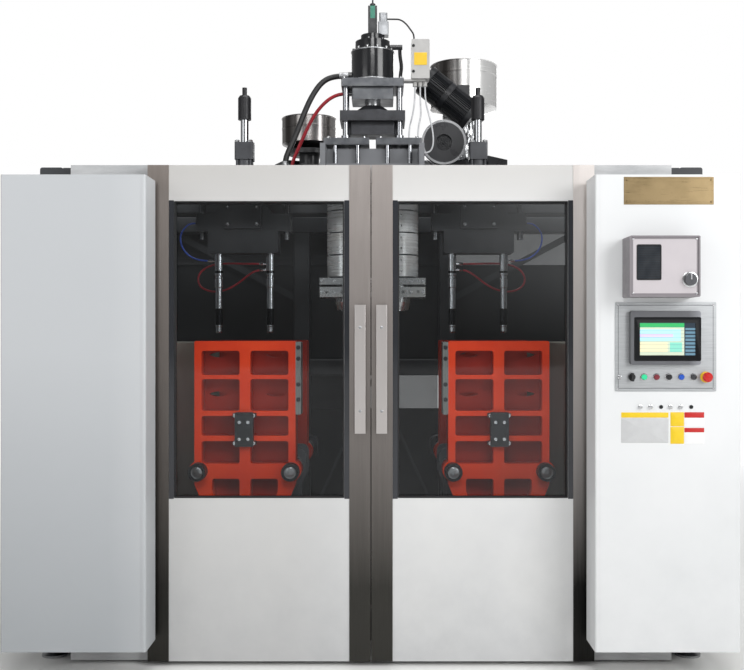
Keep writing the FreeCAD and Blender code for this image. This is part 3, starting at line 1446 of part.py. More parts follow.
def extruders():
    """Two barrels fanned out behind the head, each with its hopper, gear and drive motor."""
    barrels = []
    left_hopper = (LEFT_HOPPER_R, LEFT_HOPPER_LOW, LEFT_HOPPER_HIGH)
    right_hopper = (RIGHT_HOPPER_R, RIGHT_HOPPER_LOW, RIGHT_HOPPER_HIGH)
    throat_near = BARREL_LONG - THROAT / 2
    throat_far = BARREL_LONG + THROAT / 2
    gear_end = throat_far + 185
    covers = 4
    cover_pitch = (throat_near - 117) / covers
    turns = int((throat_near - 10) / SCREW_PITCH) + 1
    for (name, side), hopper in zip(SIDES, (left_hopper, right_hopper)):
        start, way = extruder_frame(side)
        throat_at = start + way * BARREL_LONG
        radius, low, high = hopper[0], BARREL_Z + hopper[1], BARREL_Z + hopper[1] + hopper[2]
        pipe = along(start, way, BARREL_R, 70, throat_near)
        adapter = along(start, way, 75, -60, 70)
        behind_head = box(-900, 900, start.y, start.y + 300, BARREL_Z - 90, BARREL_Z + 90)
        adapter = adapter.common(behind_head)
        flange = along(start, way, 74, 70, 100)
        cover = []
        for k in range(covers):
            s0 = 120 + k * cover_pitch
            cover.append(along(start, way, BARREL_BAND_R, s0, s0 + cover_pitch - 14))
        bore = along(start, way, BARREL_BORE, 60, throat_near)
        barrels.append(cut(join(adapter, flange, pipe, *cover), bore))

        top_z = BARREL_Z + 90
        block = aligned_block(start, way, throat_near, throat_far, 75, BARREL_Z - 75, top_z)
        stem = Part.makeCylinder(58, low - top_z - 26, V(throat_at.x, throat_at.y, top_z))
        top = Part.makeCylinder(118, 26, V(throat_at.x, throat_at.y, low - 26))
        gear = aligned_block(start, way, throat_far, gear_end, 120, GEAR_LOW, BARREL_Z + 130)
        motor = along(start, way, 84, gear_end, gear_end + 160)
        through = along(start, way, BARREL_BORE, throat_near, throat_far)
        feed = Part.makeCylinder(26, low - BARREL_Z, V(throat_at.x, throat_at.y, BARREL_Z))
        pieces = [block, stem, top, gear, motor]
        if side > 0:
            pieces += upper_motor(throat_at)
        save(f"{name}_extruder_drive", cut(join(*pieces), through, feed))

        profile = [
            (26, low),
            (60, low),
            (radius, low + 34),
            (radius, high),
            (radius - HOPPER_WALL, high),
            (radius - HOPPER_WALL, low + 36),
            (58, low + 3),
            (26, low + 3),
        ]
        save(f"{name}_extruder_hopper", turned(profile, throat_at.x, throat_at.y))

        screw_shaft = along(start, way, SCREW_ROOT, 72, throat_far - SEAT)
        flights = []
        for k in range(turns):
            s0 = 90 + k * SCREW_PITCH
            flights.append(along(start, way, BARREL_BORE - 2 * FIT, s0, s0 + FLIGHT_THICK))
        save(f"{name}_extruder_screw", join(screw_shaft, *flights))
    save("extruder_barrels", *barrels)
    save("cooling_blower", blower())


# ---- operating panel on the right cabinet ----
def programmer_unit():
    face = CABINET_FACE_Y
    front = face - PROGRAMMER_DEPTH
    x0, x1, z0, z1 = PROGRAMMER_LEFT, PROGRAMMER_RIGHT, PROGRAMMER_LOW, PROGRAMMER_HIGH
    floor = front + DIAL_RECESS
    case = plate("xz", x0, x1, z0, z1, front, face, 6)
    rim = plate("xz", x0 + 6, x1 - 6, z0 + 6, z1 - 6, front, floor, 4)
    inside = plate("xz", x0 + 5, x1 - 5, z0 + 5, z1 - 5, floor + 4, face - 4, 4)
    s0, s1, t0, t1 = x0 + 31, x0 + 122, z0 + 69, z0 + 203
    screen_hole = plate("xz", s0, s1, t0, t1, floor, floor + 4, 2)
    knob_hole = rod("y", (DIAL_X, DIAL_Z), 4 + FIT, front, front + 30)
    case = cut(case, rim, inside, screen_hole, knob_hole)
    screen = plate("xz", s0 + SEAT, s1 - SEAT, t0 + SEAT, t1 - SEAT, floor + 0.5, floor + 4, 2)
    save("programmer_unit", case, screen)
    dial_back = floor - SEAT
    dial_front = dial_back - DIAL_THICK
    dial = rod("y", (DIAL_X, DIAL_Z), DIAL_R, dial_front, dial_back)
    nib_front = dial_front - DIAL_NIB
    nib = plate(
        "xz", DIAL_X - 3, DIAL_X + 3, DIAL_Z - 4, DIAL_Z + 20, nib_front, dial_front + 1, 2
    )
    stem = rod("y", (DIAL_X, DIAL_Z), 4, dial_front, floor + 20)
    save("programmer_knob", join(dial, nib, stem))


def operator_panel():
    face = CABINET_FACE_Y
    front = face - PANEL_THICK
    sheet = plate("xz", PANEL_LEFT, PANEL_RIGHT, PANEL_LOW, PANEL_HIGH, front, face, 4)
    names = ("selector", "green", "maroon", "black", "blue", "grey", "stop")
    places = control_places()
    holes = [rod("y", (x, CONTROL_Z), CONTROL_HOLE, front, face) for x in places]
    save("operator_panel", cut(sheet, *holes))

    x0, x1, z0, z1 = PANEL_LEFT + 57, PANEL_RIGHT - 70, PANEL_LOW + 108, PANEL_HIGH - 36
    nose = front - 26
    case = plate("xz", x0, x1, z0, z1, nose, front, 10)
    s0, s1, t0, t1 = x0 + 36, x1 - 22, z0 + 38, z1 - 48
    recess = plate("xz", s0, s1, t0, t1, nose, nose + 3, 2)
    case = case.cut(recess)
    screen = plate("xz", s0 + SEAT, s1 - SEAT, t0 + SEAT, t1 - SEAT, nose + 1, nose + 3, 2)
    save("touch_screen_unit", case, screen)
    behind = front + CONTROL_BEHIND
    for label, x in zip(names, places):
        if label == "selector":
            head = rod("y", (x, CONTROL_Z), 14, front - 9, front - SEAT)
            neck = rod("y", (x, CONTROL_Z), CONTROL_R, front - 9, behind)
            lever = plate(
                "xz", x - 5, x + 5, CONTROL_Z - 17, CONTROL_Z + 17, front - 24, front - 8, 3
            )
            save("selector_switch", join(head, lever, neck))
        elif label == "stop":
            under = -STOP_TRAVEL - STOP_PROUD
            profile = [
                (0, under - 18),
                (14, under - 17),
                (20, under - 12),
                (20, under - 6),
                (13, under - 1),
                (CONTROL_R, under),
                (CONTROL_R, CONTROL_BEHIND),
                (0, CONTROL_BEHIND),
            ]
            points = [V(x + r, front + out, CONTROL_Z) for r, out in profile]
            half = Part.Face(Part.makePolygon(points + points[:1]))
            save("stop_button", half.revolve(V(x, 0, CONTROL_Z), V(0, 1, 0), 360))
        else:
            cap_front = front - BUTTON_TRAVEL - BUTTON_PROUD
            cap = rod("y", (x, CONTROL_Z), CONTROL_R, cap_front, behind)
            save(f"{label}_button", cap)


def roof_hoses():
    """Pressure hoses and leads that hang free above the machine."""
    y = PART_Y
    left = -PROGRAM_R - 16
    high = PROGRAM_TOP - 120
    bridge_top = HEAD_BEAM_TOP + BRIDGE_THICK
    black = [
        (left, y, high),
        (left - 70, y, high),
        (left - 133, y - 10, high - 31),
        (left - 183, y - 28, high - 109),
        (left - 223, y - 50, high - 206),
        (left - 257, y - 76, high - 311),
        (left - 289, y - 104, high - 391),
        (left - 309, y - 120, bridge_top + 52),
        (left - 309, y - 120, bridge_top),
    ]
    port = CYLINDER_PLATE_LOW - 12
    red = [
        (-104, y, port),
        (-156, y, port),
        (-212, y + 6, port - 19),
        (-264, y + 16, port - 62),
        (-308, y + 30, port - 120),
        (-345, y + 44, port - 190),
        (-380, y + 56, port - 266),
        (-418, y + 64, bridge_top + 64),
        (-418, y + 64, bridge_top),
    ]
    return_line = [
        (PROGRAM_R + 30, y, PROGRAM_TOP + 11),
        (PROGRAM_R + 30, y, PROGRAM_TOP - 18),
        (PROGRAM_R + 40, y, PROGRAM_TOP - 73),
        (PROGRAM_R + 32, y, PROGRAM_TOP - 122),
        (PROGRAM_R + 32, y, CYLINDER_PLATE_TOP),
    ]
    hoses = [
        hose("black pressure hose", black, 14),
        hose("red pressure hose", red, 9),
        hose("black return hose", return_line, 9),
    ]
    box_y = y - 60
    gland = CYLINDER_PLATE_TOP - 32
    cable_z = PROGRAM_TOP + 167
    plate_top = DIE_TOP_PLATE_TOP
    cable = [
        (74, y, cable_z),
        (106, y, cable_z),
        (138, y - 16, cable_z - 6),
        (168, y - 32, cable_z - 32),
        (192, y - 46, cable_z - 70),
        (207, box_y, cable_z - 96),
        (207, box_y, CYLINDER_PLATE_TOP + 205),
    ]
    inner_wire = [
        (212, box_y, gland),
        (212, box_y, gland - 70),
        (200, box_y - 6, gland - 146),
        (182, box_y - 2, plate_top + 52),
        (182, box_y - 2, plate_top),
    ]
    middle_wire = [
        (238, box_y, gland),
        (238, box_y, gland - 70),
        (243, box_y - 8, gland - 146),
        (226, box_y - 14, plate_top + 52),
        (226, box_y - 14, plate_top),
    ]
    web_z = HEAD_BLOCK_TOP - 22
    outer_wire = [
        (262, box_y, gland),
        (262, box_y, gland - 70),
        (284, box_y - 8, gland - 152),
        (300, box_y - 12, web_z + 112),
        (304, box_y - 14, web_z + 58),
        (298, box_y - 14, web_z + 22),
        (280, box_y - 14, web_z),
        (HEAD_BLOCK_HALF, box_y - 14, web_z),
    ]
    leads = [
        hose("sensor cable", cable, 4),
        hose("inner lead", inner_wire, 4),
        hose("middle lead", middle_wire, 4),
        hose("outer lead", outer_wire, 4),
    ]
    save("roof_hoses_and_leads", *hoses, *leads)


machine_frame()
levelling_feet()
save("sheet_covers", *side_covers(), *rear_covers(), *side_housings())
door_rails()
cabinets()
doors()
for label, direction in SIDES:
    clamp_station(label, direction * STATION_X, direction)
    carriage(label, direction * STATION_X, direction)
    blow_unit(label, direction * STATION_X + BLOW_SHIFT, direction)
carriage_rails()
shuttle_cylinders()
blow_cylinders()
die_head()
head_stack()
mandrel_crosshead()
programming_cylinder()
junction_box()
extruders()
programmer_unit()
operator_panel()
roof_hoses()
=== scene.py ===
import math

import bmesh
import bpy
import numpy as np
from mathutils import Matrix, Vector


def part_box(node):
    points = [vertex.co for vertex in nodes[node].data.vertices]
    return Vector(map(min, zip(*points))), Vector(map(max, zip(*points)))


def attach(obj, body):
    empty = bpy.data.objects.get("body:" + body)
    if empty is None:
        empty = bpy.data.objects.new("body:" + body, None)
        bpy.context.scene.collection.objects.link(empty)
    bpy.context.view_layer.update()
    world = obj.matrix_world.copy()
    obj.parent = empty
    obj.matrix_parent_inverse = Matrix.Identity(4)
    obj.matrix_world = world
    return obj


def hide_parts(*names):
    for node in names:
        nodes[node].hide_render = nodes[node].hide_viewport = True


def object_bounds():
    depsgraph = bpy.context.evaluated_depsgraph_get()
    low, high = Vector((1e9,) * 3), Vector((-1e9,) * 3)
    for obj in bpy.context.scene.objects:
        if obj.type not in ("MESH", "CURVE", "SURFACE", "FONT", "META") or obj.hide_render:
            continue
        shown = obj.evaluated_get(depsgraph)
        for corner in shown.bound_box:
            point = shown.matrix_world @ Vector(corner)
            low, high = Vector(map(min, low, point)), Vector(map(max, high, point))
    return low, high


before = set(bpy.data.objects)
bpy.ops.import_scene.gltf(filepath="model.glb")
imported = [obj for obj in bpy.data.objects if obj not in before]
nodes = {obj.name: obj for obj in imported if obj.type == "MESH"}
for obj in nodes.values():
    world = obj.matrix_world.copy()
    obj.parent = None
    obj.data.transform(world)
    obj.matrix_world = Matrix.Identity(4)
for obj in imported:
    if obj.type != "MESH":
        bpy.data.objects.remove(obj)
cad_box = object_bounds()


# ---- Place of work: a pale floor and the view of the machine's front ----
# The floor is plain and pale, runs off to white far behind, and keeps the machine's shadow.
# The light is soft and a little stronger from the right, as in a hall with windows there.
scene = bpy.context.scene
scene.view_settings.view_transform = "Standard"


class Wire:
    """One output of a node. Sums, products and powers of wires and numbers add Math nodes."""

    def __init__(self, owner, socket):
        self.owner = owner
        self.socket = socket

    def __add__(self, other):
        return self.owner.maths("ADD", self, other)

    def __sub__(self, other):
        return self.owner.maths("SUBTRACT", self, other)

    def __rsub__(self, other):
        return self.owner.maths("SUBTRACT", other, self)

    def __mul__(self, other):
        return self.owner.maths("MULTIPLY", self, other)

    def __truediv__(self, other):
        return self.owner.maths("DIVIDE", self, other)

    def __pow__(self, other):
        return self.owner.maths("POWER", self, other)

    def __gt__(self, other):
        return self.owner.maths("GREATER_THAN", self, other)

    def __lt__(self, other):
        return self.owner.maths("LESS_THAN", self, other)

    __radd__ = __add__
    __rmul__ = __mul__


class Nodes:
    """The nodes of one material, or of the world, and the wires between them."""

    def __init__(self, owner, shader):
        owner.use_nodes = True
        self.tree = owner.node_tree
        self.shader = self.tree.nodes[shader]

    def feed(self, socket, value):
        """Joins a socket to a wire, or sets it to a plain value or the colour of a code."""
        if isinstance(value, Wire):
            self.tree.links.new(value.socket, socket)
        else:
            socket.default_value = shade(value) if isinstance(value, str) else value

    def add(self, kind, settings, *values, output=0, **named):
        """Adds a node: its settings first, then the values or wires of its sockets."""
        node = self.tree.nodes.new(kind)
        for key, value in settings.items():
            setattr(node, key, value)
        for socket, value in zip(node.inputs, values):
            self.feed(socket, value)
        for key, value in named.items():
            self.feed(node.inputs[key], value)
        return Wire(self, node.outputs[output])

    def maths(self, operation, *values):
        return self.add("ShaderNodeMath", {"operation": operation}, *values)

    def band(self, value, low, high, out_low=0.0, out_high=1.0):
        """A straight ramp from out_low to out_high while the value goes from low to high."""
        return self.add("ShaderNodeMapRange", {"clamp": True}, value, low, high, out_low, out_high)

    def set(self, **sockets):
        """Feeds the shader's sockets; their names are written with _ for a space."""
        for key, value in sockets.items():
            self.feed(self.shader.inputs[key.replace("_", " ")], value)


class Finish(Nodes):
    """A surface finish in the making: one material with its patterns and colours."""

    def __init__(self, name):
        self.material = bpy.data.materials.new(name)
        super().__init__(self.material, "Principled BSDF")
        self.place = self.add("ShaderNodeTexCoord", {}, output="Object")

    def noise(self, scale, detail=3.0, roughness=0.55):
        """A cloudy pattern; three scales, one to an axis, draw it out into streaks."""
        place = self.place
        if isinstance(scale, tuple):
            place = self.add("ShaderNodeMapping", {}, Vector=place, Scale=scale)
            scale = 1.0
        return self.add(
            "ShaderNodeTexNoise", {}, Vector=place, Scale=scale, Detail=detail, Roughness=roughness
        )

    def axes(self):
        """The three Object coordinates, in metres, as separate wires."""
        split = self.add("ShaderNodeSeparateXYZ", {}, self.place).socket.node
        return [Wire(self, output) for output in split.outputs]

    def blend(self, factor, first, second):
        """The first colour where the factor is 0, going over to the second where it is 1."""
        mix = self.add("ShaderNodeMix", {"data_type": "RGBA"}, output=2)
        for place, value in ((0, factor), (6, first), (7, second)):
            self.feed(mix.socket.node.inputs[place], value)
        return mix

    def vary(self, pattern, first, second):
        """A number that follows a noise pattern, nearly all of which lies from 0.3 to 0.7."""
        return self.band(pattern, 0.3, 0.7, first, second)

    def tones(self, pattern, first, second):
        """Two shades that follow a noise pattern, the first where the pattern is low."""
        return self.blend(self.band(pattern, 0.3, 0.7), first, second)

    def bump(self, height, strength, depth):
        return self.add("ShaderNodeBump", {}, Strength=strength, Distance=depth, Height=height)

    def cover(self, factor, first, second):
        """Lays a mix of two surfaces over the piece; None stands for the finish's own shader."""
        own = Wire(self, self.shader.outputs[0])
        mix = self.add("ShaderNodeMixShader", {}, factor, first or own, second or own)
        self.feed(self.tree.nodes["Material Output"].inputs[0], mix)

    def on(self, *names):
        """Lays the finish on CAD nodes in place of their plain one."""
        for name in names:
            mesh = nodes[name].data
            mesh.materials.clear()
            mesh.materials.append(self.material)


def shade(code):
    """A colour written as six hexadecimal digits, turned into the renderer's linear numbers."""
    parts = [int(code[i : i + 2], 16) / 255 for i in (0, 2, 4)]
    linear = [c / 12.92 if c <= 0.04045 else ((c + 0.055) / 1.055) ** 2.4 for c in parts]
    return (*linear, 1.0)


# The camera stands where the photograph was taken; these three lengths are in its pixels.
photo_width, photo_focal, photo_offset = 744.0, 988.0, 9.8
camera = bpy.data.objects.new("camera", bpy.data.cameras.new("camera"))
camera.location = (0.046, -5.0417, 1.410)
camera.rotation_euler = (math.pi / 2, 0.0, 0.0)
camera.data.lens = camera.data.sensor_width * photo_focal / photo_width
camera.data.shift_x = -photo_offset / photo_width
camera.data.clip_end = 200.0
scene.collection.objects.link(camera)
scene.camera = camera

floor_half, count = 40.0, 9
across = np.linspace(-floor_half, floor_half, count)
gx, gy = np.meshgrid(across, across, indexing="ij")
points = np.stack([gx, gy, np.zeros_like(gx)], -1).reshape(-1, 3)
corner = (np.arange(count - 1)[:, None] * count + np.arange(count - 1)).ravel()
tiles = np.stack([corner, corner + count, corner + count + 1, corner + 1], -1)
floor_mesh = bpy.data.meshes.new("floor")
floor_mesh.from_pydata(points.tolist(), [], tiles.tolist())
floor = bpy.data.objects.new("floor", floor_mesh)
scene.collection.objects.link(floor)
ground = Finish("pale_floor")
x, y, _ = ground.axes()
far = ground.band((x * x + y * y) ** 0.5, 2.6, 7.0)
ground.set(
    Base_Color=ground.blend(far, "F2F2F0", (1, 1, 1, 1)),
    Roughness=0.75,
    Emission_Color=(1, 1, 1, 1),
)
ground.cover(far, None, ground.add("ShaderNodeEmission", {}, (1, 1, 1, 1), 1.0))
floor_mesh.materials.append(ground.material)

# What looks straight out, or through clear pieces, sees white; all else sees a plain grey hall.
hall_level = 0.29
world = bpy.data.worlds.new("hall")
scene.world = world
sky = Nodes(world, "Background")
rays = ("Is Camera Ray", "Is Transmission Ray")
seen = sky.maths("MAXIMUM", *[sky.add("ShaderNodeLightPath", {}, output=ray) for ray in rays])
sky.set(Color=(1, 1, 1, 1), Strength=sky.band(seen, 0.0, 1.0, hall_level, 1.0))


def lamp(name, place, aim, size, power):
    """A square soft light of the given size that faces the point it is aimed at."""
    light = bpy.data.lights.new(name, "AREA")
    light.size = size
    light.energy = power
    holder = bpy.data.objects.new(name, light)
    way = np.array(aim) - np.array(place)
    holder.location = place
    flat = math.hypot(way[0], way[1])
    turn = math.atan2(way[1], way[0]) - math.pi / 2
    holder.rotation_euler = (math.pi / 2 + math.atan2(way[2], flat), 0.0, turn)
    scene.collection.objects.link(holder)


lamp("window_right", (4.6, -5.2, 3.4), (0.4, -0.8, 1.2), 3.2, 212.0)
lamp("window_left", (-4.8, -5.4, 3.0), (-0.4, -0.8, 1.2), 3.2, 66.0)
lamp("front_fill", (0.0, -7.2, 6.0), (0.0, 0.0, 1.1), 2.4, 150.0)
lamp("roof_light", (0.3, -0.8, 6.4), (0.0, -0.2, 2.0), 3.6, 135.0)
lamp("back_light", (0.5, 5.5, 4.0), (0.0, 0.5, 1.6), 3.0, 110.0)


# ---- Machine frame and feet ----
# Welded square steel tubes, sprayed dark grey in one coat, with dust lying on what faces up.
# It stands on ten turned levelling feet, each locked by a hexagon nut under the base beam.
coat = Finish("frame_grey_paint")
mottle = coat.noise(9.0, 5.0)
grain = coat.noise(420.0, 2.0)
facing = coat.add("ShaderNodeNewGeometry", {}, output="Normal")
upward = coat.band(coat.add("ShaderNodeSeparateXYZ", {}, facing, output="Z"), 0.6, 0.95)
dust = upward * coat.band(mottle, 0.35, 0.75)
paint = coat.tones(mottle, "2B2D30", "3A3C40")
coat.set(
    Base_Color=coat.blend(dust * 0.5, paint, "6E6A62"),
    Roughness=coat.vary(mottle, 0.42, 0.6),
    Normal=coat.bump(grain, 0.12, 0.0006),
)
coat.on("machine_frame")


def turned(profile, centres, axis="z", around=24):
    """Turned pieces: each pair of radius r and height h of the profile runs once round the axis.

    A point is r cos a, r sin a beside the axis and h along it, moved to each centre in turn.
    """
    profile = np.asarray(profile, float)
    a = np.linspace(0.0, 2 * math.pi, around, endpoint=False)
    r = profile[:, :1]
    h = np.repeat(profile[:, 1:], around, axis=1)
    u, v = r * np.cos(a), r * np.sin(a)
    one = np.stack({"z": (u, v, h), "y": (u, h, v), "x": (h, u, v)}[axis], -1)
    return [one + np.asarray(c, float) for c in centres]


def skins(name, grids, finish, body, smooth=40.0):
    """One piece from several grids of points, each laid as rows of four-sided faces.

    The last column of a grid joins its first one; doubled points are merged.
    """
    points, faces, start = [], [], 0
    for grid in grids:
        rows, columns = grid.shape[:2]
        points.append(grid.reshape(-1, 3))
        i = np.arange(rows - 1)[:, None] * columns
        j = np.arange(columns)
        k = (j + 1) % columns
        quads = np.stack([i + j, i + k, i + columns + k, i + columns + j], -1)
        faces.append(quads.reshape(-1, 4) + start)
        start += rows * columns
    mesh = bpy.data.meshes.new(name)
    mesh.from_pydata(np.concatenate(points).tolist(), [], np.concatenate(faces).tolist())
    made = bmesh.new()
    made.from_mesh(mesh)
    bmesh.ops.remove_doubles(made, verts=made.verts, dist=1e-6)
    bmesh.ops.dissolve_degenerate(made, edges=made.edges, dist=1e-7)
    bmesh.ops.recalc_face_normals(made, faces=made.faces)
    made.to_mesh(mesh)
    made.free()
    mesh.shade_smooth()
    mesh.set_sharp_from_angle(angle=math.radians(smooth))
    mesh.materials.append(finish.material)
    piece = bpy.data.objects.new(name, mesh)
    scene.collection.objects.link(piece)
    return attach(piece, body)


steel = Finish("turned_steel")
rings = steel.noise(260.0, 2.0)
steel.set(
    Base_Color=steel.tones(rings, "8E9093", "B4B5B6"),
    Metallic=1.0,
    Roughness=steel.vary(steel.noise(30.0), 0.28, 0.46),
)
steel.on("levelling_feet")
# The two mould stations stand station_x to each side of the head. Head, stations and middle
# feet are centred on the plane middle_y.
station_x, middle_y, foot_inset = 0.59, -0.0417, 0.055
low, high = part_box("levelling_feet")
columns_x = (low[0] + foot_inset, -station_x, station_x, high[0] - foot_inset)
feet_y = (low[1] + foot_inset, high[1] - foot_inset)
places = [(fx, fy, 0.0) for fx in columns_x for fy in feet_y]
places += [(fx, middle_y, 0.0) for fx in (columns_x[0], columns_x[3])]
nut = [(0.0225, 0.0185), (0.033, 0.0185), (0.036, 0.0195), (0.036, 0.0287), (0.034, 0.0297)]
nut += [(0.0225, 0.0297), (0.0225, 0.0185)]
skins("foot_lock_nuts", turned(nut, places, around=6), steel, "machine", smooth=20)


# ---- Sheet covers and cabinets ----
# Folded steel sheet with a fine white powder coat, a little greyer low down where hands and dust
# reach.
# The left side is painted grey, darkest low down, as painted shade. The narrow side housings behind
# the doors have a warm grey coat; the rear tray's inside is painted near black as painted shade.
white = Finish("white_powder_coat")
x, y, z = white.axes()
orange_peel = white.noise(650.0, 2.0)
cloud = white.noise(1.3, 4.0)
smudge = white.noise(5.5, 6.0, 0.62)
foot_dirt = white.band(z + cloud * 0.35, 0.28, 1.25, 1.0, 0.0)
clean = white.tones(cloud, "D6D8D9", "DEDFE0")
# Painted shade: the left side is painted greyer, darkest low down, as the light comes from the
# right.
left_side = white.band(x + cloud * 0.1, -1.0, -0.2, 1.0, 0.0)
shaded = white.blend(white.band(z + cloud * 0.3, 0.3, 1.5), "9EA2A6", "BABDC0")
shade_and_dirt = white.blend(left_side, clean, shaded)
shade_and_dirt = white.blend(foot_dirt * white.band(smudge, 0.3, 0.8, 0.10, 0.34), shade_and_dirt, "AFB2B4")
# Painted shade: the inside of the rear tray is painted near black.
tray_inside_shade = (y > 1.160) * (y < 1.1765) * (x * x < 1.4435**2)
housing = (x * x < 1.3449**2) * (y > -0.64) * (y < 1.07) * (z > 0.2)
inner = white.blend(housing, shade_and_dirt, "9A958B")
white.set(
    Base_Color=white.blend(tray_inside_shade, inner, "1D1F22"),
    Roughness=white.band(smudge, 0.3, 0.75, 0.34, 0.5),
    Normal=white.bump(orange_peel, 0.10, 0.0004),
)
white.on("sheet_covers", "left_cabinet", "right_cabinet")


# ---- Rear guards ----
# Thin sheets with pressed beads close the back above and below. The dark ones are painted shade:
# their colour stands in for the shade inside the machine behind the panes. One above at the right
# and one below in the middle are smoky and clear.
def rounded(area, radius, profile, base=0.0):
    """A profile carried round a rounded rectangle that lies square to Y.

    The area is x0, x1, z0, z1. Each pair of the profile is an inset, which moves the sides
    inwards, and a level, which is added to base along Y.
    """
    x0, x1, z0, z1 = area
    rows = []
    quarter = np.linspace(0.0, math.pi / 2, 6)
    for inset, level in profile:
        w = max((x1 - x0) / 2 - inset, 0.0)
        h = max((z1 - z0) / 2 - inset, 0.0)
        r = min(max(radius - inset, 0.0), w, h)
        ring = []
        for k, (sx, sz) in enumerate(((1, 1), (-1, 1), (-1, -1), (1, -1))):
            a = quarter + k * math.pi / 2
            ring.append(np.stack([sx * (w - r) + r * np.cos(a), sz * (h - r) + r * np.sin(a)], -1))
        ring = np.concatenate(ring) + ((x0 + x1) / 2, (z0 + z1) / 2)
        rows.append(np.insert(ring, 1, base + level, axis=1))
    return np.stack(rows)


def pressed_sheet(area, level):
    """A closed sheet square to Y: rounded corners, a rolled rim and two long pressed beads.

    The front follows inset and level pairs inwards to its middle line, the back lies flat.
    """
    middle = (area[3] - area[2]) / 2
    profile = [(middle, 0.0), (0.002, 0.0), (0.0, -0.0008), (0.001, -0.0018)]
    profile += [(0.006, -0.0018), (0.008, -0.0012)]
    for inset in (0.35 * middle, 0.6 * middle):
        profile += [(inset - 0.006, -0.0012), (inset, -0.0018), (inset + 0.006, -0.0012)]
    return rounded(area, 0.006, profile + [(middle, -0.0012)], level)


# Painted shade: the dark guard sheets stand in for the shade inside the machine.
painted_shade_sheet = Finish("painted_shade_guard_sheet")
cloud = painted_shade_sheet.noise(2.2, 4.0)
painted_shade_sheet.set(
    Base_Color=painted_shade_sheet.blend(cloud, "1C1E21", "2A2B2F"),
    Roughness=painted_shade_sheet.vary(cloud, 0.45, 0.6),
)
smoky = Finish("smoky_guard_sheet")
cloud = smoky.noise(2.2, 4.0)
smoky.set(
    Base_Color=smoky.blend(cloud, "3A3B40", "46474D"),
    Roughness=smoky.vary(cloud, 0.2, 0.35),
    Alpha=smoky.vary(cloud, 0.62, 0.68),
)
back = cad_box[1][1] - 0.0004
edge, above, below = 1.443, (1.847, 2.060), (0.947, 1.163)
dark_areas = ((-edge, 0.449, *above), (-edge, -0.152, *below), (0.401, edge, *below))
smoky_areas = ((0.451, edge, *above), (-0.150, 0.399, *below))
for name, areas, finish in (
    ("rear_dark_guards", dark_areas, painted_shade_sheet),
    ("rear_smoky_guards", smoky_areas, smoky),
):
    skins(name, [pressed_sheet(area, back) for area in areas], finish, "machine", smooth=30)


# ---- Door rails ----
# Two long lipped channels of coated sheet in which the slide shoes of the leaves run.
# The coat is rubbed to bare metal along the slot.
rail = Finish("rail_coat")
scuff = rail.noise((4.2, 14.0, 14.0), 5.0)
rail.set(
    Base_Color=rail.blend(rail.band(scuff, 0.35, 0.75), "C9CACB", "9FA1A3"),
    Metallic=rail.band(scuff, 0.62, 0.75, 0.0, 0.8),
    Roughness=rail.vary(scuff, 0.35, 0.5),
    Normal=rail.bump(rail.noise(500.0, 2.0), 0.1, 0.0004),
)
rail.on("door_rails")


# ---- Sliding doors ----
# Each leaf is a tray of white sheet round a clear pane, between two brushed stainless stiles.
# The grain of the stiles runs upwards. Their colour is painted light and shade: browner and darker
# low down, a painted reflection where the floor shows in them, and lighter high up and on the right,
# where the light falls, with a painted sheen along the grain.
leaf = Finish("door_sheet")
x, _, z = leaf.axes()
cloud = leaf.noise(1.6, 4.0)
smudge = leaf.noise(6.0, 6.0, 0.6)
# The sheet is painted darker towards the bottom.
darker_low = leaf.band(z + cloud * 0.3, 0.15, 1.0, 0.6, 0.02)
face = leaf.tones(cloud, "D2D3D4", "DBDBDA")
# Painted shade: the left leaf is painted greyer, as the light comes from the right.
left_leaf_shade = leaf.band(x + cloud * 0.1, -0.3, 0.1, 0.6, 0.0)
face = leaf.blend(left_leaf_shade, face, "BEBDBB")
# Painted shade: the top band of the leaves is painted darker.
face = leaf.blend(leaf.band(z, 1.85, 2.1, 0.0, 0.5), face, "B4B1AD")
leaf.set(
    Base_Color=leaf.blend(darker_low * leaf.band(smudge, 0.1, 0.8, 0.4, 1.0), face, "9A9C9F"),
    Roughness=leaf.band(smudge, 0.3, 0.75, 0.32, 0.48),
    Normal=leaf.bump(leaf.noise(650.0, 2.0), 0.10, 0.0004),
)
leaf.on("left_door_panel", "right_door_panel")

brushed = Finish("brushed_stainless")
x, y, z = brushed.axes()
grain = brushed.noise((900.0, 900.0, 9.0), 4.0, 0.7)
streak = brushed.noise((60.0, 60.0, 1.1), 3.0, 0.6)
# Painted light and shade: the stiles go from dark low down to light high up, and are lighter on the
# right.
height = brushed.band(z + streak * 0.12, 0.40, 1.95)
low = brushed.blend(brushed.band(x, 0.2, 0.9), "383734", "0C0C0B")
low = brushed.blend(brushed.band(x, -0.9, -0.2), "2E2D2A", low)
upper = brushed.blend(brushed.band(x, 0.2, 0.9), "ACA4A0", "E6DFDB")
upper = brushed.blend(brushed.band(x, -0.9, -0.2), "918882", upper)
bare = brushed.blend(height, low, upper)
# Painted highlight: the front face of the handle is painted lighter.
lit_handle_face = y < -0.8440
bare = brushed.blend(lit_handle_face, bare, "C4BFBD")
bare = brushed.blend(brushed.band(streak, 0.35, 0.7, 0.0, 0.10) * height, bare, "8C847F")
# Painted sheen: a lighter tone along the grain, stronger high up.
grain_sheen = brushed.vary(grain, 0.0, 0.12) * (height * 0.8 + 0.2)
brushed.set(
    Base_Color=brushed.blend(grain_sheen, bare, "D8D4D0"),
    Metallic=0.92,
    Roughness=brushed.band(grain, 0.25, 0.75, 0.27, 0.42),
    Normal=brushed.bump(grain, 0.05, 0.0002),
)
brushed.on("left_door_stiles_and_handle", "right_door_stiles_and_handle")

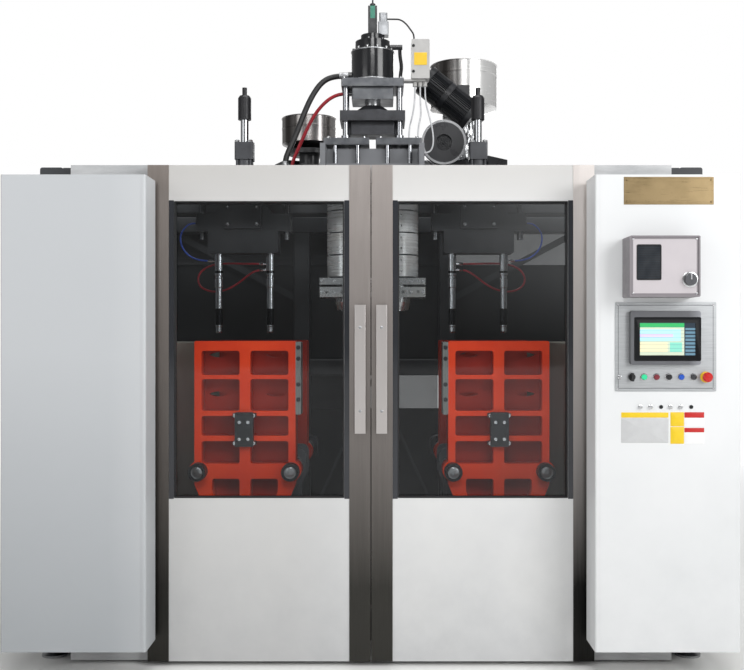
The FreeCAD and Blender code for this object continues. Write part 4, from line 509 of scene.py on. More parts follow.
pane = Finish("clear_pane")
wipe = pane.noise((3.5, 3.5, 1.225), 5.0, 0.6)
through = pane.add("ShaderNodeBsdfTransparent", {}, (0.93, 0.945, 0.95, 1.0))
sheen = pane.add("ShaderNodeFresnel", {}, 1.42)
pane.set(
    Base_Color=(0.85, 0.86, 0.87, 1.0),
    Metallic=1.0,
    Roughness=pane.band(wipe, 0.35, 0.7, 0.02, 0.07),
)
x, _, z = pane.axes()
# Painted reflection: the upper right of the panes is made more mirror-like, as a window's
# reflection.
corner = pane.band(x, 0.25, 0.8) * pane.band(z, 1.4, 2.1, 0.008, 0.18)
haze_and_reflection = pane.band(wipe, 0.38, 0.72, 0.006, 0.03) * pane.band(z, 1.4, 2.0, 0.2, 1.3) + corner
pane.cover(sheen * 0.4 + haze_and_reflection, through, None)
pane.on("left_window", "right_window")

seal = Finish("black_rubber")
speck = seal.noise(300.0, 2.0)
seal.set(
    Base_Color=seal.blend(seal.noise(12.0), "121314", "232426"),
    Roughness=seal.vary(speck, 0.6, 0.8),
    Normal=seal.bump(speck, 0.2, 0.0004),
)
tinted = Finish("dark_glass_border")
tinted.set(
    Base_Color=tinted.blend(tinted.noise(4.0), "26282C", "303237"),
    Roughness=tinted.vary(tinted.noise(9.0, 4.0), 0.06, 0.14),
)
sides = (("left", -1), ("right", 1))
window_rim = 0.009
lip = [(-0.001, 0.016), (0.0, 0.004), (0.0005, -0.0004), (0.004, -0.0008), (0.0065, 0.004)]
lip += [(0.0068, 0.0275)]
strip = [(0.0, 0.0004), (0.0, -0.0006), (0.0006, -0.0012), (0.5, -0.0012)]
screw = [(0.0, -0.0012), (0.0045, -0.0012), (0.0066, -0.0002), (0.0068, 0.0004), (0.0, 0.0004)]
half_gap, handle_inset, half_handle = 0.002, 0.020, 0.0235
for side, sign in sides:
    door = f"{side}_door"
    low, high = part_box(f"{side}_window")
    tray_low, tray_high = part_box(f"{side}_door_panel")
    front = tray_low[1]
    opening = [low[0] + window_rim, high[0] - window_rim, low[2] + window_rim, high[2] - window_rim]
    skins(f"{side}_window_seal", [rounded(opening, 0.004, lip, front)], seal, door, smooth=60)
    strips = []
    for edge_0, edge_1 in ((tray_low[0], opening[0]), (opening[1], tray_high[0])):
        area = (edge_0 + 0.0004, edge_1, opening[2] - 0.003, opening[3] + 0.003)
        strips.append(rounded(area, 0.002, strip, front))
    skins(f"{side}_window_borders", strips, tinted, door, smooth=30)
    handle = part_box(f"{side}_door_stiles_and_handle")[0][1]
    grip_x = sign * (half_gap + handle_inset + half_handle)
    heads = turned(screw, [(grip_x, handle, hz) for hz in (1.090, 1.442)], "y", 20)
    skins(f"{side}_handle_screws", heads, steel, door)


# ---- Platens ----
# Ribbed iron castings in orange-red enamel, flat towards the mould. Oil clouds ribs and pockets; the
# pockets are painted darker the deeper they lie, as painted shade, so the raised ribs stay paler.
# The sand of the mould shows as fine bumps.
enamel = Finish("platen_enamel")
_, y, _ = enamel.axes()
sand = enamel.noise(240.0, 3.0)
oil = enamel.noise(4.5, 6.0, 0.65)
# Painted shade: the pockets are painted darker the deeper they lie.
front_depth = enamel.band(y, -0.4495, -0.372)
rear_depth = enamel.band(y, 0.366, 0.288)
depth = enamel.maths("MINIMUM", front_depth, rear_depth)
ribs = enamel.blend(enamel.band(oil, 0.35, 0.7), "FF4A16", "F03A10")
shaded_pocket = enamel.tones(oil, "A62412", "821A0C")
enamel.set(
    Base_Color=enamel.blend(depth * 0.92, ribs, shaded_pocket),
    Roughness=enamel.band(oil, 0.3, 0.75, 0.42, 0.6),
    Normal=enamel.bump(sand + oil * 0.6, 0.14, 0.0008),
    Coat_Weight=enamel.band(oil, 0.4, 0.7, 0.10, 0.0),
)
enamel.shader.inputs["Specular IOR Level"].default_value = 0.22
enamel.on("left_front_platen", "right_front_platen", "left_rear_platen", "right_rear_platen")


# ---- Clamp units: yoke, anchor block and side strip ----
# The yoke and its barrel are black. A black anchor block with two ears is bolted on the middle
# rib of the front platen, and a planed grey strip with stud ends lies along its inner edge.
black = Finish("black_machine_paint")
grime = black.noise(11.0, 6.0, 0.6)
black.set(
    Base_Color=black.blend(black.band(grime, 0.35, 0.75), "232427", "313236"),
    Roughness=black.vary(grime, 0.34, 0.5),
    Normal=black.bump(black.noise(520.0, 2.0), 0.06, 0.0004),
)
clamp = Finish("clamp_paint_and_strip")
x, y, z = clamp.axes()
grime = clamp.noise(11.0, 6.0, 0.6)
lines = clamp.noise((500.0, 500.0, 8.0), 4.0, 0.6)
inner_edge = (x * x < 0.381**2) * (y < -0.35) * (z > 1.03)
dark = clamp.blend(clamp.band(grime, 0.35, 0.75), "191A1D", "303135")
strip = clamp.tones(lines, "6E7071", "93948F")
clamp.set(
    Base_Color=clamp.blend(inner_edge, dark, strip),
    Metallic=inner_edge * 0.6,
    Roughness=clamp.vary(grime, 0.32, 0.52),
    Normal=clamp.bump(lines, 0.12, 0.0005),
)
clamp.on("left_clamp_unit", "right_clamp_unit")

bright = Finish("bright_bolts")
bright.set(
    Base_Color=bright.blend(bright.noise(90.0), "B9BABC", "DCDDDE"),
    Metallic=1.0,
    Roughness=bright.vary(bright.noise(60.0), 0.16, 0.30),
)


def socket_screws(radius, high, centres, axis="y", way=-1):
    """Cap screws with a hexagon socket: a turned head and a six-sided hole in its top."""
    r, h = radius, high * way
    head = [(0.0, 0.0), (r, 0.0), (r, h * 0.9), (r * 0.93, h), (r * 0.56, h)]
    hole = [(r * 0.56, h), (r * 0.52, h * 0.98), (r * 0.5, h * 0.45), (0.0, h * 0.40)]
    return turned(head, centres, axis, 20) + turned(hole, centres, axis, 6)


clamp_face, strip_x = -0.4517, station_x - 0.235 - 0.013
plug = [(0.0, -0.004), (0.008, -0.004), (0.010, -0.002), (0.010, 0.0), (0.0, 0.0)]
for side, sign in sides:
    cx, body = sign * station_x, f"{side}_front_clamp"
    ears = [(cx + dx, clamp_face - 0.020, ez) for dx in (-0.042, 0.042) for ez in (1.038, 0.910)]
    block = [(cx + dx, clamp_face - 0.036, bz) for dx in (-0.020, 0.020) for bz in (0.930, 1.008)]
    heads = socket_screws(0.0095, 0.011, ears) + socket_screws(0.0080, 0.009, block)
    skins(f"{side}_anchor_screws", heads, bright, body)
    spots = [(sign * strip_x, clamp_face, ez) for ez in (1.110, 1.180, 1.300, 1.352)]
    skins(f"{side}_strip_studs", turned(plug, spots, "y", 18), black, body)


# ---- Tie bars and nuts ----
# Ground and chromed steel bars; round black nuts with a turned groove and four spanner slots.
# The end of each bar shows inside its nut as a grey machined disc.
tie = Finish("ground_bars_and_black_nuts")
_, y, _ = tie.axes()
wear = tie.noise(20.0, 4.0)
turning = tie.noise(700.0, 1.0)
ground_bar = tie.blend(wear, "A9ABAE", "C9CACC")
nut_zone = (y < clamp_face) + (y > 0.698)
tie.set(
    Base_Color=tie.blend(nut_zone, ground_bar, "232427"),
    Metallic=tie.band(nut_zone, 0.0, 1.0, 1.0, 0.35),
    Roughness=tie.vary(wear, 0.20, 0.34) + nut_zone * 0.16,
    Normal=tie.bump(turning, 0.08, 0.0003),
)
tie.on("left_tie_bars", "right_tie_bars")
bar_end = [(0.0, -0.0012), (0.006, -0.0012), (0.007, -0.0030), (0.020, -0.0034), (0.0235, -0.0018)]
bar_end += [(0.0262, -0.0026), (0.0288, -0.0006), (0.0292, 0.0004), (0.0, 0.0004)]
nut_face, bars = -0.5037, ((-0.214, 0.778), (0.214, 0.778), (0.0, 0.470))
for side, sign in sides:
    ends = [(sign * station_x + dx, nut_face, tz) for dx, tz in bars]
    skins(f"{side}_bar_ends", turned(bar_end, ends, "y", 40), steel, f"{side}_front_clamp")


# ---- Carriages, rails and shuttle cylinders ----
# Welded grey carriages run on two ground rails; the chromed rods of the shuttle cylinders
# push them sideways. Everything low down carries a film of oil and dust.
grey = Finish("grey_carriage_paint")
*_, z = grey.axes()
grime = grey.noise(8.0, 6.0, 0.6)
film = grey.band(z + grime * 0.3, 0.25, 0.9, 0.7, 0.1)
painted = grey.blend(film * grey.band(grime, 0.3, 0.8), "4A4C50", "2A2724")
head_body = z > 2.21
grey.set(
    Base_Color=grey.blend(head_body, painted, "76787C"),
    Roughness=grey.vary(grime, 0.36, 0.58),
    Normal=grey.bump(grey.noise(300.0, 2.0), 0.15, 0.0006),
)
grey.on("left_carriage", "right_carriage", "die_head_body")
ground_steel = Finish("ground_rail_steel")
streaks = ground_steel.noise((6.0, 400.0, 400.0), 4.0, 0.6)
ground_steel.set(
    Base_Color=ground_steel.tones(streaks, "85878A", "B7B9BB"),
    Metallic=1.0,
    Roughness=ground_steel.vary(streaks, 0.2, 0.4),
)
ground_steel.on("carriage_rails")
black.on("shuttle_cylinders", "left_blow_carrier", "right_blow_carrier")


# ---- Blow units: pins and rods ----
# Polished and chromed steel. The pins are turned in steps and have a dark slim section over the
# tip; the collar on the stroke rod is black.
rods = Finish("chromed_rods_and_pins")
*_, z = rods.axes()
smear = rods.noise(24.0, 4.0)
collar = z > 2.4975
slim = (z > 1.4605) * (z < 1.5435) + (z > 1.722) * (z < 1.734)
chrome = rods.blend(smear, "D9DBDE", "C2C4C8")
bare = rods.blend(z > 1.90, chrome, "B1B3B6")
rods.set(
    Base_Color=rods.blend(collar + slim, bare, "1F1F22"),
    Metallic=rods.band(collar, 0.0, 1.0, 1.0, 0.3),
    Roughness=rods.vary(smear, 0.10, 0.24) + collar * 0.25,
)
rods.on("left_blow_pins_and_rods", "right_blow_pins_and_rods")
cylinders = Finish("cast_cylinder_paint")
*_, z = cylinders.axes()
grime = cylinders.noise(12.0, 5.0)
tie_rods = z > 2.380
cast = cylinders.tones(grime, "4C4E52", "38393D")
cylinders.set(
    Base_Color=cylinders.blend(tie_rods, cast, "A7A9AB"),
    Metallic=cylinders.band(tie_rods, 0.0, 1.0, 0.15, 1.0),
    Roughness=cylinders.vary(grime, 0.34, 0.55),
    Normal=cylinders.bump(cylinders.noise(420.0, 2.0), 0.1, 0.0005),
)
cylinders.on("blow_cylinders")
pin_shift = -0.058
ring = [(0.0072, 0.0001), (0.0125, 0.0001), (0.0125, 0.0095), (0.0115, 0.0105), (0.0072, 0.0105)]
for side, sign in sides:
    cx, cy = sign * station_x + pin_shift, middle_y
    corners = [(cx + dx, cy + dy, 2.379) for dx in (-0.033, 0.033) for dy in (-0.033, 0.033)]
    skins(f"{side}_cylinder_nuts", turned(ring, corners, "z", 6), bright, "machine", smooth=20)
    front = [(cx + dx, cy - 0.080, bz) for dx in (-0.072, 0.072) for bz in (1.962, 2.046)]
    skins(f"{side}_carrier_screws", socket_screws(0.009, 0.010, front), bright, f"{side}_blow_unit")


# ---- Blowing hoses ----
# Red and blue plastic tubes, each one free length: a red loop hangs behind the two pins, and a
# blue one rises from the outer pin to the carrier. A hexagon nut holds each end at a pin.
def tube_finish(name, first, second, rough):
    """Smooth tube: two close shades in faint clouds, and a fine, soft bump."""
    made = Finish(name)
    cloud = made.noise(35.0, 4.0)
    made.set(
        Base_Color=made.tones(cloud, first, second),
        Roughness=made.vary(cloud, rough, rough + 0.15),
        Normal=made.bump(made.noise(200.0, 2.0), 0.08, 0.0005),
    )
    return made


def laid(name, route, diameter, finish, body, node):
    """A hose or lead along a smooth spline with the route's points as its control points."""
    curve = bpy.data.curves.new(name, "CURVE")
    curve.dimensions = "3D"
    spline = curve.splines.new("NURBS")
    spline.points.add(len(route) - 1)
    for point, place in zip(spline.points, route):
        point.co = (*place, 1.0)
    spline.order_u = 3
    spline.use_endpoint_u = True
    spline.resolution_u = 10
    curve.bevel_depth = diameter / 2
    curve.bevel_resolution = 4
    curve.use_fill_caps = True
    curve.materials.append(finish.material)
    piece = bpy.data.objects.new(name, curve)
    scene.collection.objects.link(piece)
    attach(piece, body)
    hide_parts(node)


def at_station(sign, route):
    """Points given from a station's middle, mirrored to its side and moved to the pins."""
    return [(sign * (station_x + px) + pin_shift, middle_y + py, pz) for px, py, pz in route]


red_tube = tube_finish("red_tube", "B01B2B", "8E1524", 0.30)
blue_tube = tube_finish("blue_tube", "1F4FC0", "173E9C", 0.28)
near_pin, far_pin, fitting = -0.094, 0.166, 0.247
red_route = [
    (near_pin, 0, 1.770), (near_pin + 0.044, 0, 1.770), (near_pin + 0.100, 0.016, 1.772),
    (near_pin + 0.160, 0.036, 1.775), (0.128, 0.046, 1.775), (0.186, 0.046, 1.764),
    (0.232, 0.044, 1.734), (0.248, 0.042, 1.690), (0.226, 0.042, 1.648), (0.168, 0.042, 1.628),
    (0.102, 0.040, 1.638), (0.040, 0.030, 1.670), (-0.014, 0.012, 1.712),
    (near_pin + 0.034, 0, 1.739), (near_pin, 0, 1.739),
]
blue_route = [
    (far_pin, 0, 1.785), (far_pin + 0.056, 0, 1.785), (far_pin + 0.112, 0, 1.806),
    (far_pin + 0.148, 0, 1.846), (far_pin + 0.160, 0, 1.888), (far_pin + 0.156, 0, 1.926),
    (fitting + 0.053, 0, 1.956), (fitting + 0.028, 0, 1.975), (fitting, 0, 1.975),
]
ferrule = [(0.0, 0.0), (0.0075, 0.0), (0.0085, 0.001), (0.0085, 0.012), (0.0062, 0.014)]
ferrule += [(0.0062, 0.020), (0.0, 0.020)]
for side, sign in sides:
    unit, node = f"{side}_blow_unit", f"{side}_blow_hoses"
    laid(f"{side}_red_hose", at_station(sign, red_route), 0.010, red_tube, unit, node)
    laid(f"{side}_blue_hose", at_station(sign, blue_route), 0.008, blue_tube, unit, node)
    ends = at_station(sign, (red_route[0], red_route[-1], blue_route[0]))
    shape = [(r, sign * h) for r, h in ferrule]
    skins(f"{side}_hose_nuts", turned(shape, ends, "x", 6), bright, unit, smooth=20)


# ---- Die head: cores, heater bands, plates and tips ----
# Two round cores in polished heater bands, each band drawn shut by a pair of screws in front.
# The die plates are ground steel, straw-coloured by heat near the tips.
bands = Finish("heater_band_steel")
x, *_ = bands.axes()
heat_stain = bands.noise(7.0, 5.0, 0.6)
drawn = bands.noise((6.0, 6.0, 90.0), 2.0, 0.5)
bands.set(
    Base_Color=bands.blend(bands.band(heat_stain, 0.35, 0.75), "F4F5F6", "D8D5D0"),
    # Painted highlight: the right core has less metal in its finish, so its near-white colour shows
    # bright.
    Metallic=bands.band(x, -0.05, 0.05, 0.45, 0.12),
    Roughness=bands.vary(drawn, 0.24, 0.32),
    Normal=bands.bump(drawn, 0.015, 0.0002),
)
bands.on("heater_bands")
plates = Finish("ground_die_plates")
*_, z = plates.axes()
stain = plates.noise(9.0, 5.0)
straw = plates.band(z, 1.54, 1.70, 0.75, 0.1) * plates.band(stain, 0.3, 0.75)
plates.set(
    Base_Color=plates.blend(straw, "B9BABB", "8B7B66"),
    Metallic=0.8,
    Roughness=plates.vary(stain, 0.2, 0.38),
)
plates.on("die_plates", "die_tips")
core_x = 0.13
screws = [
    (cx, middle_y - 0.114, low_z + dz)
    for cx in (-core_x, core_x)
    for low_z in (1.702, 1.813, 1.924, 2.035)
    for dz in (0.026, 0.078)
]
heads = []
for s in (-1, 1):
    head = [(0.0, 0.009 * s), (0.0065, 0.009 * s), (0.0065, 0.015 * s), (0.0, 0.0155 * s)]
    heads += turned(head, screws, "x", 6)
skins("heater_band_screws", heads, bright, "machine", smooth=20)
plate_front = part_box("die_plates")[0][1]
plate_x = (-0.250, -0.190, -0.105, 0.105, 0.190, 0.250)
spots = [(px, plate_front, pz) for px in plate_x for pz in (1.6765, 1.623)]
skins("die_plate_screws", socket_screws(0.0085, 0.008, spots), bright, "machine")


# ---- Stack over the head: plates, pillars, crosshead and cylinder ----
# Phosphated dark plates on bright pillars carry the black hydraulic cylinder that moves the
# mandrels. Its jacket is glossy black paint; the plates are held by rows of cap screws.
stack = Finish("dark_plates_and_bright_pillars")
x, y, z = stack.axes()
grime = stack.noise(16.0, 5.0)
milled = stack.noise((14.0, 14.0, 300.0), 3.0, 0.6)
ax = stack.maths("ABSOLUTE", x)
ay = stack.maths("ABSOLUTE", y - middle_y)
off = ((ax - 0.134) ** 2.0 + (ay - 0.075) ** 2.0) ** 0.5
pillar = (off < 0.0225) * (z > 2.3881) * (z < 2.6439) + (z < 2.3539)
plate_dark = stack.tones(grime, "4A4C50", "6A6C6F")
stack.set(
    Base_Color=stack.blend(pillar, plate_dark, "A2A4A8"),
    Metallic=stack.band(pillar, 0.0, 1.0, 0.7, 1.0),
    Roughness=stack.vary(milled, 0.28, 0.46) - pillar * 0.16,
    Normal=stack.bump(milled, 0.08, 0.0004),
)
stack.on("head_plates")
cross = Finish("crosshead_and_mandrels")
*_, z = cross.axes()
grime = cross.noise(16.0, 5.0)
rod_zone = (z < 2.4119) + (z > 2.561)
forged = cross.tones(grime, "2A2B2E", "424347")
cross.set(
    Base_Color=cross.blend(rod_zone, forged, "C2C4C6"),
    Metallic=cross.band(rod_zone, 0.0, 1.0, 0.5, 1.0),
    Roughness=cross.vary(grime, 0.34, 0.5) - rod_zone * 0.18,
)
cross.on("mandrel_crosshead")
gloss = Finish("glossy_black_jacket")
speck = gloss.noise(500.0, 2.0)
gloss.set(
    Base_Color=gloss.blend(gloss.noise(6.0), "0E0F11", "1B1C20"),
    Roughness=gloss.vary(gloss.noise(14.0, 4.0), 0.10, 0.22),
    Normal=gloss.bump(speck, 0.05, 0.0003),
    Coat_Weight=gloss.vary(gloss.noise(5.0), 0.15, 0.3),
)
gloss.on("programming_cylinder")
instruments = Finish("sensor_and_valve")
x, y, z = instruments.axes()
valve = x > 0.0255
marker = (x * x < 0.0117**2) * (z > 3.007) * (z < 3.071) * (y < -0.0600)
body_colour = instruments.blend(valve, "1D1F21", "8C8E91")
instruments.set(
    Base_Color=instruments.blend(marker, body_colour, "17705A"),
    Metallic=instruments.band(valve, 0.0, 1.0, 0.1, 0.6),
    Roughness=instruments.vary(instruments.noise(20.0), 0.3, 0.5),
    Normal=instruments.bump(instruments.noise(380.0), 0.1, 0.0004),
)
instruments.on("cylinder_instruments")
crown = []
turns = np.linspace(0.0, 2 * math.pi, 12, endpoint=False) + 0.26
for angles, circle, top, radius, high in (
    (turns, 0.0975, 2.841, 0.0082, 0.010),
    (turns[::2], 0.072, 2.8905, 0.0055, 0.007),
):
    ring = [(circle * math.cos(a), middle_y + circle * math.sin(a), top) for a in angles]
    crown += socket_screws(radius, high, ring, "z", 1)
plate_top = [(px, middle_y + py, 2.684) for px in (-0.140, 0.140) for py in (-0.095, 0.0, 0.095)]
die_top = [
    (cx + dx, middle_y + dy, 2.388)
    for cx in (-core_x, core_x)
    for dx in (-0.09, 0.09)
    for dy in (-0.09, 0.09)
]
for spots in (plate_top, die_top):
    crown += socket_screws(0.0082, 0.009, spots, "z", 1)
skins("head_stack_screws", crown, bright, "machine")
hoop = [(0.1071, -0.0035), (0.1094, -0.0030), (0.1100, 0.0), (0.1094, 0.0030), (0.1071, 0.0035)]
hoop += [(0.1071, -0.0035)]
hoops = turned(hoop, [(0.0, middle_y, hz) for hz in (2.6885, 2.836)], "z", 96)
skins("cylinder_hoops", hoops, steel, "machine")


# ---- Junction box ----
# Light grey sheet box with cable glands below, two quarter-turn locks and a bare yellow plate.
light = Finish("light_grey_coat")
cloud = light.noise(8.0, 4.0)
light.set(
    Base_Color=light.tones(cloud, "A4A3A2", "B6B5B3"),
    Roughness=light.vary(cloud, 0.34, 0.48),
    Normal=light.bump(light.noise(600.0, 2.0), 0.12, 0.0004),
)
light.on("junction_box")
yellow = Finish("yellow_plate")
yellow.set(
    Base_Color=yellow.blend(yellow.noise(30.0), "E8C21A", "D9AE12"),
    Roughness=yellow.vary(yellow.noise(60.0), 0.35, 0.5),
)
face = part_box("junction_box")[0][1]
slab = [(0.0, 0.0004), (0.0, -0.0010), (0.0008, -0.0016), (0.5, -0.0016)]
grid = rounded((0.206, 0.270, 2.748, 2.810), 0.003, slab, face)
skins("junction_box_plate", [grid], yellow, "machine", smooth=30)
lock = [(0.0, -0.004), (0.006, -0.004), (0.0072, -0.0026), (0.0072, 0.0004), (0.0, 0.0004)]
locks = turned(lock, [(0.203, face, lz) for lz in (2.717, 2.844)], "y", 20)
skins("junction_box_locks", locks, seal, "machine")


# ---- Hoses and leads on the roof ----
# Rubber hoses run from the cylinder and its plates to the bridge, and grey leads drop from the
# glands of the junction box. The two pressure hoses end in crimped steel sleeves.
rubber = tube_finish("black_hose", "0D0D0E", "1C1C1E", 0.42)
lead_grey = tube_finish("silver_lead", "D2D3D5", "B4B6B9", 0.26)
routes = {
    "black_pressure_hose": (0.028, rubber, 0.658, [
        (-0.123, 0, 2.721), (-0.193, 0, 2.721), (-0.256, -0.010, 2.690), (-0.306, -0.028, 2.612),
        (-0.346, -0.050, 2.515), (-0.380, -0.076, 2.410), (-0.412, -0.104, 2.330),
        (-0.432, -0.120, 2.272), (-0.432, -0.120, 2.220)]),
    "red_pressure_hose": (0.018, red_tube, 0.571, [
        (-0.104, 0, 2.632), (-0.156, 0, 2.632), (-0.212, 0.006, 2.613), (-0.264, 0.016, 2.570),
        (-0.308, 0.030, 2.512), (-0.345, 0.044, 2.442), (-0.380, 0.056, 2.366),
        (-0.418, 0.064, 2.284), (-0.418, 0.064, 2.220)]),
    "black_return_hose": (0.018, rubber, 0.169, [
        (0.137, 0, 2.852), (0.137, 0, 2.823), (0.147, 0, 2.768), (0.139, 0, 2.719),
        (0.139, 0, 2.684)]),
    "sensor_cable": (0.008, rubber, 0.212, [
        (0.074, 0, 3.008), (0.106, 0, 3.008), (0.138, -0.016, 3.002), (0.168, -0.032, 2.976),
        (0.192, -0.046, 2.938), (0.207, -0.060, 2.912), (0.207, -0.060, 2.889)]),
    "inner_lead": (0.008, lead_grey, 0.267, [
        (0.212, -0.060, 2.652), (0.212, -0.060, 2.582), (0.200, -0.066, 2.506),
        (0.182, -0.062, 2.440), (0.182, -0.062, 2.388)]),
    "middle_lead": (0.008, lead_grey, 0.266, [
        (0.238, -0.060, 2.652), (0.238, -0.060, 2.582), (0.243, -0.068, 2.506),
        (0.226, -0.074, 2.440), (0.226, -0.074, 2.388)]),
    "outer_lead": (0.008, lead_grey, 0.373, [
        (0.262, -0.060, 2.652), (0.262, -0.060, 2.582), (0.284, -0.068, 2.500),
        (0.300, -0.072, 2.430), (0.304, -0.074, 2.376), (0.298, -0.074, 2.340),
        (0.280, -0.074, 2.318), (0.250, -0.074, 2.318)]),
}
for name, (diameter, finish, length, route) in routes.items():
    route[:] = [(px, middle_y + py, pz) for px, py, pz in route]
    laid(name, route, diameter, finish, "machine", "roof_hoses_and_leads")
sleeves = []
for r, name in ((0.0165, "black_pressure_hose"), (0.0112, "red_pressure_hose")):
    route = routes[name][3]
    crimp = [(r * 0.8, 0.0), (r, 0.001), (r, 0.034), (r * 0.96, 0.036), (r * 0.96, 0.039)]
    crimp += [(r, 0.041), (r * 0.93, 0.046), (r * 0.8, 0.047), (r * 0.8, 0.0)]
    sleeves += turned(crimp, [route[-1]], "z", 28)
    sleeves += turned([(q, -h) for q, h in crimp], [route[0]], "x", 28)
skins("hose_sleeves", sleeves, steel, "machine")


# ---- Extruders: barrels, throats, drives, hoppers and blowers ----
# Barrels in heater covers lead back to throats, gearboxes and motors. Black and grey paint on
# castings; the motors and blower housings are glossy; the right throat is lagged with foil.
barrels = Finish("barrel_covers")
stain = barrels.noise(9.0, 5.0)
barrels.set(
    Base_Color=barrels.tones(stain, "A5A7A9", "77757A"),
    Metallic=0.85,
    Roughness=barrels.vary(stain, 0.26, 0.45),
)
barrels.on("extruder_barrels", "left_extruder_screw", "right_extruder_screw")
drives = Finish("drive_castings")
grime = drives.noise(9.0, 5.0)
drives.set(
    Base_Color=drives.blend(drives.band(grime, 0.35, 0.75), "141518", "26282C"),
    Roughness=drives.vary(grime, 0.24, 0.45),
    Normal=drives.bump(drives.noise(300.0, 2.0), 0.12, 0.0006),
)
drives.on("left_extruder_drive", "right_extruder_drive")
fan_x, fan_z = 0.365, 2.400
fan = Finish("fan_housing_paint")
x, y, z = fan.axes()
from_axis = ((x - fan_x) ** 2.0 + (z - fan_z) ** 2.0) ** 0.5
lip = (y < 0.0325) * (from_axis > 0.1035)
housing = fan.blend(fan.noise(8.0), "1A1B1E", "2C2D31")
fan.set(
    Base_Color=fan.blend(lip, housing, "9A9B9D"),
    Roughness=fan.vary(fan.noise(14.0, 4.0), 0.22, 0.4),
    Metallic=lip * 0.7,
)
fan.on("cooling_blower")
# Each hopper: the x and y of its axis, its radius and the height of its rim.
hoppers = ((-0.3711, 0.6537, 0.156, 2.646), (0.5083, 0.5612, 0.187, 2.922))
tin = Finish("brushed_hopper_steel")
x, *_ = tin.axes()
turnlines = tin.noise((3.0, 3.0, 420.0), 4.0, 0.65)
streak = tin.noise((22.0, 22.0, 0.4), 3.0, 0.5)
right_one = x > 0.0
beside = x - (right_one * (hoppers[1][0] - hoppers[0][0]) + hoppers[0][0])
# Painted light and shade: each hopper is dark on its left side and bright on its right, the right
# hopper brightest, as painted shade and painted reflections of the light.
to_right = tin.band(beside + streak * 0.10, -0.02, 0.10)
shaded_left_half = tin.blend(tin.band(streak, 0.4, 0.6), "4A4745", "8E8B89")
lit_right_half = tin.blend(right_one, "B2AEAD", "F2F2F1")
tin.set(
    Base_Color=tin.blend(to_right, shaded_left_half, lit_right_half),
    Metallic=tin.band(to_right * right_one, 0.0, 1.0, 1.0, 0.7),
    Roughness=tin.vary(turnlines, 0.20, 0.28),
    Normal=tin.bump(turnlines, 0.01, 0.0001),
)
tin.on("left_extruder_hopper", "right_extruder_hopper")
roll = np.linspace(0.0, 2 * math.pi, 13)
rim = np.stack([0.0035 * np.cos(roll), 0.0036 + 0.0035 * np.sin(roll)], -1)
seam = np.array([(0.0001, 0.0), (0.0016, 0.0015), (0.0016, 0.0105), (0.0001, 0.012), (0.0001, 0.0)])
rims = []
for cx, cy, r, top in hoppers:
    rims += turned(rim + (r, top), [(cx, cy, 0.0)], "z", 96)
    rims += turned(seam + (r, top - 0.060), [(cx, cy, 0.0)], "z", 96)
skins("hopper_rims", rims, tin, "machine")

foil = Finish("crumpled_foil")
fold = foil.noise(38.0, 6.0, 0.7)
foil.set(
    Base_Color=foil.tones(fold, "DADCDE", "A3A5A7"),
    Metallic=1.0,
    Roughness=foil.vary(fold, 0.12, 0.34),
    Normal=foil.bump(fold, 0.7, 0.004),
)
rng = np.random.default_rng(7)


def sleeve(origin, way, run, radius):
    """A tube along a straight way, with its own radius for each row and column of points.

    A point is origin + run way + radius (cos a u + sin a v), with u and v square to the way.
    """
    way = np.asarray(way, float)
    u = np.cross(way, (0.0, 0.0, 1.0)) if abs(way[2]) < 0.9 else np.array([1.0, 0.0, 0.0])
    u = u / np.linalg.norm(u)
    v = np.cross(u, way)
    a = np.linspace(0.0, 2 * math.pi, radius.shape[1], endpoint=False)[None, :, None]
    return np.asarray(origin, float) + run[..., None] * way + radius[..., None] * (
        np.cos(a) * u + np.sin(a) * v
    )


def crumpled(centre, way, start, end, radius, depth, rows=46, columns=120):
    """Foil wrapped round a pipe: the radius plus folded creases, and the ends drawn in.

    Creases are the sum of absolute sines at seven random slants, so ridges stay sharp.
    """
    s = np.linspace(0.0, 1.0, rows)[:, None]
    a = np.linspace(0.0, 2 * math.pi, columns, endpoint=False)[None, :]
    crease = np.zeros((rows, columns))
    for _ in range(7):
        turns, climb, phase = rng.integers(2, 9), rng.uniform(-14, 14), rng.uniform(0, 6.28)
        crease += np.abs(np.sin(turns * a + climb * s + phase)) * rng.uniform(0.4, 1.0)
    crease = crease / crease.max()
    r = radius + depth * (crease - 0.5) - 0.6 * depth * (np.exp(-40 * s) + np.exp(-40 * (1 - s)))
    return sleeve(centre, way, start + (end - start) * s, r)


right_x, right_y = hoppers[1][:2]
lagging = [crumpled((right_x, right_y, 0.0), (0, 0, 1), 2.386, 2.622, 0.090, 0.022)]
for begin_x, way in ((-core_x, (-0.430511, 0.902585, 0.0)), (core_x, (0.675590, 0.737277, 0.0))):
    begin = (begin_x, middle_y + 0.190, 2.293)
    lagging.append(crumpled(begin, way, 0.052, 0.116, 0.086, 0.012, 24))
skins("foil_lagging", lagging, foil, "machine", smooth=50)

low_end, high_end = np.array([0.5293, 0.2612, 2.575]), np.array([0.2773, 0.2612, 2.779])
length = np.linalg.norm(high_end - low_end)
fin_count, motor_r, root_r, fin_high = 48, 0.0762, 0.0765, 0.0065
a = np.linspace(0.0, 2 * math.pi, 4 * fin_count, endpoint=False)
tooth = np.floor(a / (2 * math.pi) * fin_count * 2) % 2
radius = np.stack([motor_r + 0 * tooth, root_r + fin_high * tooth])[[0, 1, 1, 0]]
fins = []
for begin, end in ((0.032, length / 2 - 0.002), (length / 2 + 0.032, length - 0.032)):
    run = np.array([begin, begin + 0.0005, end - 0.0005, end])[:, None]
    fins.append(sleeve(low_end, (high_end - low_end) / length, run, radius))
skins("feeder_motor_fins", fins, drives, "machine", smooth=20)

